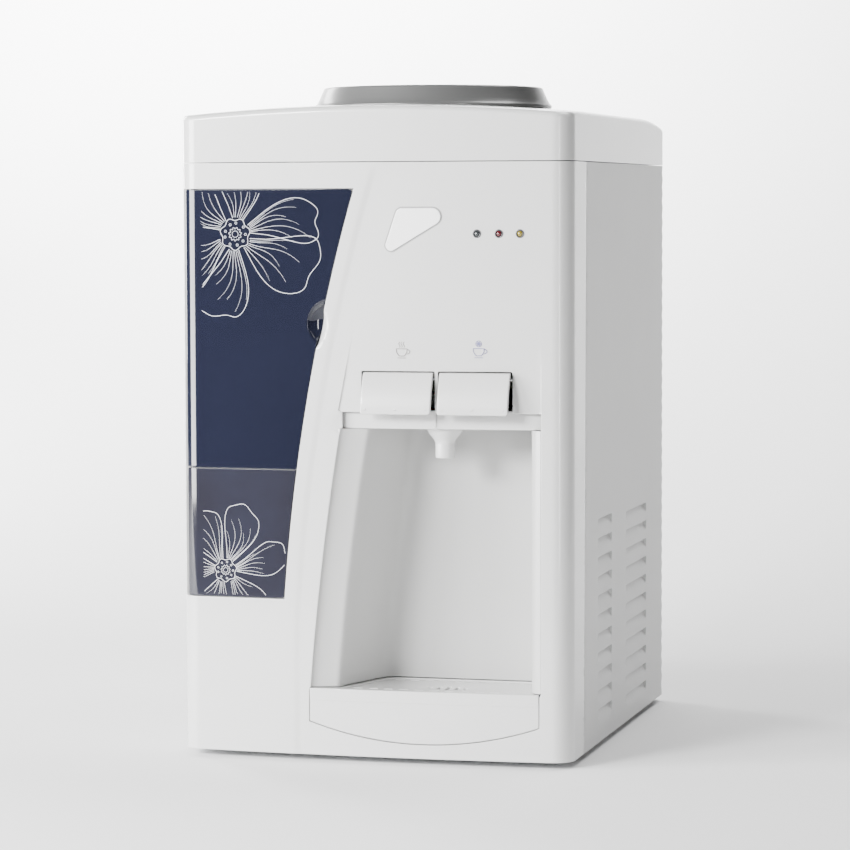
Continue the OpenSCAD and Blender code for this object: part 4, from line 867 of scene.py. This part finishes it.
rib_view = [(-191, 299), (-201.6, 272), (-195, 271), (-186.5, 292), (-186.5, 299)]
for left, label in ((HOT_X, "hot"), (COLD_X, "cold")):
    right = left + BUTTON_W
    loop = rounded([(left + 0.6, BUTTON_Z0, 2.0), (right, BUTTON_Z0, 3.0),
                    (right, BUTTON_Z1, 1.0), (left + 0.6, BUTTON_Z1, 1.0)])
    plate = slab([loop], 2.4, 0.8, button_place, step=3.0, edge_step=1.5)
    ribs = [upright_plate(rib_view, x, 2) for x in (left + 3, right - 5, left + BUTTON_W / 2 - 1)]
    add(label + "_flap", *joined(plate, *ribs), "shell_white", body=label + "_press",
        stands_for=label + "_button", crease=40)

# ---------------------------------------------------------------- faucet bracket: ledge, bay ceiling, lugs


def level(top):
    """Place for a flat plate whose upper face lies at a height."""
    return lambda x, y, d: np.stack([x, y, top - d], -1)


def ledge_place(s, z, d):
    return on_skin(s, z, d + 6.5)


def ledge_dip(s, z):
    return -0.9 * smooth((51.0 - s) / 0.8)


LEDGE_Z1, CEILING_T, LUG_W = 271.5, 3.0, 2.5
s0, s1 = float(run_of(BAY_L - 1)), float(run_of(BAY_R + 1.5))
strip_loop = [(s0, BAY_Z1, 0), (s1, BAY_Z1, 0), (s1, LEDGE_Z1, 0), (s0, LEDGE_Z1, 0)]
strip = slab([rounded(strip_loop)], 2.5, 0.9, ledge_place, step=4, dip=ledge_dip, edge_step=2,
             lines=[upright(x, 259, 270, 4) for x in (50.1, 50.6, 51.1)])
front_line = on_skin(run_of(np.linspace(BAY_L, BAY_R, 30)), np.zeros(30), np.full(30, 8.2))[:, :2]
ceiling_loop = np.concatenate([front_line, [[BAY_R, BAY_BACK + 3], [BAY_L, BAY_BACK + 3]]])
ceiling = slab([ceiling_loop, circle(*SPOUT, 7.2, 40)], CEILING_T, 0, level(BAY_Z1 + CEILING_T), step=8)
lug_view = [(-182, 258), (-176.5, 258), (-178, 295.5), (-180, 297.9), (-185.2, 297.9), (-185.2, 289.5), (-182, 283.5)]
between = (HOT_X + BUTTON_W + COLD_X - LUG_W) / 2
lugs = [upright_plate(lug_view, x, LUG_W) for x in (HOT_X - 5.5, between, COLD_X + BUTTON_W + 3)]
add("ledge_bracket", *joined(strip, ceiling, *lugs), "shell_white", stands_for="faucet_bracket", crease=40)

# ---------------------------------------------------------------- spout

# Section of the spout: up the outside from its mouth, over the flange, back down the bore
spout_profile = [
    (5.2, 234.0), (6.6, 234.0), (7.2, 234.3), (7.5, 235.0), (7.5, 244.6), (7.6, 245.8),
    (8.1, 247.2), (9.2, 248.9), (10.9, 250.9), (12.6, 253.0), (13.7, 255.2), (14.1, 256.8),
    (6.0, 256.8), (6.0, 264.0), (4.0, 264.0), (4.0, 254.5), (5.0, 254.0), (5.0, 234.4)]
add("spout_nozzle", *lathe(spout_profile, *SPOUT, 64), "shell_white", stands_for="spout", crease=40)

# ---------------------------------------------------------------- drip tray and grille


def tray_plan(z, grow, x_lo, x_hi, depth):
    """Plan of the bay at a height, grown or shrunk, cut to the tray opening and closed along the front."""
    x0 = float(arc_x(BAY_ARC, z))
    path = resample(catmull(bay_plan(x0)), 110)
    path = path + path_normal(path) * grow
    path[:, 0] = np.clip(path[:, 0], x_lo, x_hi)
    path = path[path[:, 1] > front_y(path[:, 0]) + depth + 0.3]
    xs = np.linspace(x_hi, x_lo, 60)
    front = on_skin(run_of(xs), np.zeros(60), np.full(60, depth))[:, :2]
    start = [x_lo, path[0][1]]
    end = [x_hi, path[-1][1]]
    loop = np.concatenate([[start], path, [end], front])
    keep = np.linalg.norm(loop - np.roll(loop, 1, 0), axis=1) > 0.05
    return loop[keep]


CREASE_Z = 48.2


def tray_dip(s, z):
    return 0.45 * smooth((CREASE_Z - z) / 1.0)


GRILLE_L, GRILLE_R, GRILLE_LEAN = -2.1, 121.2, 0.35


def grille_plan(grow):
    """Outline of the drip grille, with straight left and right edges, grown by a distance."""
    loop = tray_plan(BAY_Z0 + 22, grow - 3, TRAY_L + 4.0 - grow, TRAY_R - 4.0 + grow, 4.0 - grow)
    left = GRILLE_L - grow - GRILLE_LEAN * (BAY_BACK - loop[:, 1])
    loop[:, 0] = np.clip(loop[:, 0], left, GRILLE_R + grow)
    keep = np.linalg.norm(loop - np.roll(loop, 1, 0), axis=1) > 0.05
    return loop[keep]


xs = np.linspace(TRAY_L, TRAY_R, 60)
tray_loop = np.concatenate([on_front_line(np.stack([xs, tray_low(xs)], -1)),
                            on_front_line([(TRAY_R, BAY_Z0), (TRAY_L, BAY_Z0)])])
xs = np.linspace(TRAY_L + 2.5, TRAY_R - 2.5, 60)
crease_line = [on_front_line(np.stack([xs, np.full(60, z)], -1)) for z in (CREASE_Z - 1, CREASE_Z - 0.5, CREASE_Z)]
front = slab([tray_loop], SKIN_T, 0.8, on_skin, step=5, dip=tray_dip, edge_step=2.0, lines=crease_line)
rim_out, rim_in = tray_plan(BAY_Z0, 2.0, TRAY_L + 1, TRAY_R - 1, 2.0), grille_plan(0.5)
rim = slab([rim_out, rim_in], 25.3, 0.6, level(BAY_Z0), step=6, edge_step=2.5)
basin = slab([grille_plan(0.6)], 2.5, 0, level(34.0), step=9)
posts = []
for x, y in ((-20, -183), (115, -183), (4, -128), (114, -128)):
    ends = [[(x, y, z), (x + 5, y, z), (x + 5, y + 5, z), (x, y + 5, z)] for z in (32.5, 53.4)]
    posts.append(loft(ends, caps=True))
add("tray_drawer", *joined(front, rim, basin, *posts), "shell_white", body="tray", stands_for="drip_tray", crease=40)


def grille_place(x, y, d):
    bowl = 0.7 * np.exp(-((x - SPOUT[0]) / 26) ** 2 - ((y - SPOUT[1] - 4) / 15) ** 2)
    return np.stack([x, y, 56.2 - bowl - d], -1)


def slot(x0, y0, x1, y1, r):
    return rounded([(x0, y0, r), (x1, y0, r), (x1, y1, r), (x0, y1, r)], 4)


slots = [slot(SPOUT[0] + a - 1.5, SPOUT[1] + 6 - b, SPOUT[0] + a + 1.5, SPOUT[1] + 6 + b, 1.2)
         for a, b in ((-14, 3), (-7, 6), (0, 8), (7, 6), (14, 3))]
slots += [slot(x, y, x + 7, y + 2.4, 0.9)
          for y, row in ((-130, range(2, 111, 12)), (-179, range(-18, 111, 12))) for x in row]
grille = slab([grille_plan(0)] + slots, 2.4, 0.5, grille_place, step=5, edge_step=1.6, rings=3)
add("tray_grille", *grille, "shell_white", body="grille", stands_for="drip_grille", crease=40)

# ---------------------------------------------------------------- badge, lamps and cup marks


def hull_of(circles, n=14):
    """Outline round three circles (x, z, radius), counter-clockwise."""
    out = []
    m = len(circles)
    for i in range(m):
        (x0, z0, r0), (x1, z1, r1), (x2, z2, r2) = circles[i - 1], circles[i], circles[(i + 1) % m]

        def out_angle(xa, za, ra, xb, zb, rb):
            d = math.hypot(xb - xa, zb - za)
            return math.atan2(zb - za, xb - xa) - math.acos((ra - rb) / d)
        a0, a1 = out_angle(x0, z0, r0, x1, z1, r1), out_angle(x1, z1, r1, x2, z2, r2)
        while a1 < a0:
            a1 += 2 * math.pi
        out += [(x1 + r1 * math.cos(a), z1 + r1 * math.sin(a)) for a in np.linspace(a0, a1, n)]
    return np.array(out)


def proud(height):
    return lambda s, z, d: on_skin(s, z, d - height)


corners = [(25.6, 419.6, 4.9), (17.2, 396.6, 4.3), (49.4, 418.2, 6.4)]
badge = hull_of(corners)
# Thin grey ring round the badge, just proud of the front: painted shadow of the gap round the badge's edge.
shadow_ring_outline = hull_of([(x, z, r + 1.1) for x, z, r in corners])
add("badge", *slab([badge], 0.9, 0.5, proud(0.9), step=3, edge_step=1), "badge_white", stands_for="badge_plate",
    crease=60)
shadow_ring_loops = [shadow_ring_outline, inset(turned(badge, True), 0.3)[::-1]]
add("badge_groove", *slab(shadow_ring_loops, 0.08, 0, proud(0.06), step=1.5, edge_step=1), "rim_grey", crease=60)


def facing(x, z, r, y, n):
    """Ring of n points round (x, z) at a depth y."""
    b = np.arange(n) * 2 * math.pi / n
    return np.stack([x + r * np.cos(b), np.full(n, y), z + r * np.sin(b)], -1)


def dome(x, z, r, lift, n=28):
    """Round lens that stands lift proud of the front, on a stem behind it."""
    y = float(front_y(x))
    rows = [facing(x, z, r * math.sin(a), y + 1.2 - (1.2 + lift) * math.cos(a), n)
            for a in np.linspace(0.04, math.pi / 2, 8)]
    return loft(rows + [facing(x, z, r, y + 6, n)], caps=True)


def ring_on_front(x, z, r0, r1, lift, n=36):
    y = float(front_y(x))
    profile = ((r0, -1.0), (r0, lift * 0.6), (r0 + 0.15, lift), (r1 - 0.2, lift), (r1, lift * 0.4), (r1, -0.3))
    return loft([facing(x, z, r, y - h, n) for r, h in profile])


for name, x, lens in LAMPS:
    add("lamp_" + name, *dome(x, LAMP_Z, 2.3, 0.9), lens, stands_for="led_" + name, crease=50)
    add("lamp_rim_" + name, *ring_on_front(x, LAMP_Z, 2.35, 3.3, 0.25), "bezel", crease=50)


def marks(strokes, name, material_name):
    """Printed strokes of (points, radius) on the front."""
    parts = []
    for line, w in strokes:
        p = np.array(line, float)
        if len(p) < 5:
            p = resample(p, 12)
        parts.append(wire(on_skin(run_of(p[:, 0]), p[:, 1], np.full(len(p), 0.08)), w))
    return add(name, *joined(*parts), material_name, crease=60, weighted=False)


LINE_R, THIN_R = 0.26, 0.22


def cup(cx, cz):
    """Line drawing of a cup on a saucer line, its brim centred on (cx, cz)."""
    bowl = rounded([(cx - 4.2, cz, 0), (cx - 4.0, cz - 2.5, 1.0), (cx - 2.2, cz - 5.4, 1.8),
                    (cx + 2.2, cz - 5.4, 1.8), (cx + 4.0, cz - 2.5, 1.0), (cx + 4.2, cz, 0)])
    handle = [(cx + 4.1 + 2.2 * math.sin(a), cz - 2.2 + 1.7 * math.cos(a)) for a in np.linspace(0.2, math.pi - 0.1, 12)]
    return [(resample(bowl, 40), LINE_R), ([(cx - 4.4, cz), (cx + 4.4, cz)], LINE_R), (handle, LINE_R),
            ([(cx - 3.2, cz - 6.9), (cx + 3.2, cz - 6.9)], THIN_R)]


def arc_round(cx, cz, r, angles):
    return [(cx + r * math.cos(a), cz + r * math.sin(a)) for a in angles]


hot_x, cold_x, snow_z = 25.0, 84.7, 322.4
steam = [([(hot_x + k + 0.5 * math.sin(1.6 * t), 319.2 + t) for t in np.linspace(0, 4.4, 12)], THIN_R)
         for k in (-1.7, 0.0, 1.7)]
marks(cup(hot_x, 318.2) + steam, "cup_mark_hot", "print_taupe")
snow = [(arc_round(cold_x, snow_z, 2.3, (math.pi * k / 3 + math.pi, math.pi * k / 3)), 0.24) for k in range(3)]
snow.append((arc_round(cold_x, snow_z, 2.2, np.linspace(0, 2 * math.pi, 25)), LINE_R))
snow.append((arc_round(cold_x, snow_z, 1.1, np.linspace(0, 2 * math.pi, 17)), LINE_R))
marks(cup(cold_x, 318.8) + snow, "cup_mark_cold", "print_violet")

# ---------------------------------------------------------------- camera, floor, light, in metres

cam = bpy.data.cameras.new("camera")
cam.sensor_width = 36.0
cam.lens = 139.409  # mm, on the 36 mm sensor
cam.clip_start, cam.clip_end = 0.1, 20
cam_ob = bpy.data.objects.new("camera", cam)
bpy.context.scene.collection.objects.link(cam_ob)
bpy.context.scene.camera = cam_ob
eye, aim = Vector((0.68273, -2.59417, 0.42655)), Vector((-0.00796, 0.0, 0.24745))
cam_ob.rotation_mode = "QUATERNION"
cam_ob.location = eye
look = (aim - eye).normalized()
cam_ob.rotation_quaternion = Quaternion(look, math.radians(0.175)) @ look.to_track_quat("-Z", "Y")

# Floor that curves up into a backdrop
SWEEP_Y, SWEEP_R = 0.5, 3.0
profile = [(-1.05, 0.0), (SWEEP_Y, 0.0)]
profile += [(SWEEP_Y + SWEEP_R * math.sin(a), SWEEP_R - SWEEP_R * math.cos(a))
            for a in np.linspace(0, math.pi / 2, 28)[1:]]
profile += [(SWEEP_Y + SWEEP_R, 5.0)]
floor_pts = [(x, y, z) for x in (-3.4, 1.7) for y, z in profile]
n = len(profile)
me = bpy.data.meshes.new("studio_floor")
me.from_pydata(floor_pts, [], [(k, k + 1, n + k + 1, n + k) for k in range(n - 1)])
me.polygons.foreach_set("use_smooth", [True] * len(me.polygons))
floor = bpy.data.objects.new("studio_floor", me)
bpy.context.scene.collection.objects.link(floor)
material("studio_paper", (0.92, 0.92, 0.92), 0.8, grain=(200, 0.02), vary=0.004)
me.materials.append(MAT["studio_paper"])


def lamp(name, place, aim_at, size, power, size_y):
    li = bpy.data.lights.new(name, "AREA")
    li.shape = "RECTANGLE"
    li.size, li.size_y = size, size_y
    li.energy = power
    ob = bpy.data.objects.new(name, li)
    ob.location = place
    ob.rotation_mode = "QUATERNION"
    ob.rotation_quaternion = (Vector(aim_at) - Vector(place)).to_track_quat("-Z", "Y")
    bpy.context.scene.collection.objects.link(ob)


world = bpy.data.worlds.new("studio")
bpy.context.scene.world = world
world.use_nodes = True
world.node_tree.nodes["Background"].inputs[0].default_value = (1, 1, 1, 1)
world.node_tree.nodes["Background"].inputs[1].default_value = 0.05


def around(azimuth, distance, height):
    """Point round the object, with the azimuth in degrees from straight in front towards +X."""
    a = math.radians(azimuth)
    return (distance * math.sin(a), -distance * math.cos(a), height)


lamp("key", around(-27, 2.4, 1.05), (0, 0, 0.26), 0.70, 110, size_y=0.5)
lamp("left_softbox", around(-53, 2.3, 0.62), (0, 0, 0.26), 1.15, 140, size_y=1.25)
lamp("rim_left", around(-126, 1.9, 0.8), (0, 0, 0.4), 0.45, 44, size_y=1.2)
lamp("corner_strip", around(41, 2.6, 0.45), (0.1, -0.1, 0.26), 0.12, 17, size_y=1.7)
lamp("floor_wash", (0.9, 0.7, 2.4), (0.6, -0.2, 0), 1.2, 44, size_y=1.0)
lamp("backdrop_wash", (-1.1, 1.9, 1.75), (-1.1, 3.2, 0.3), 1.4, 175, size_y=0.6)
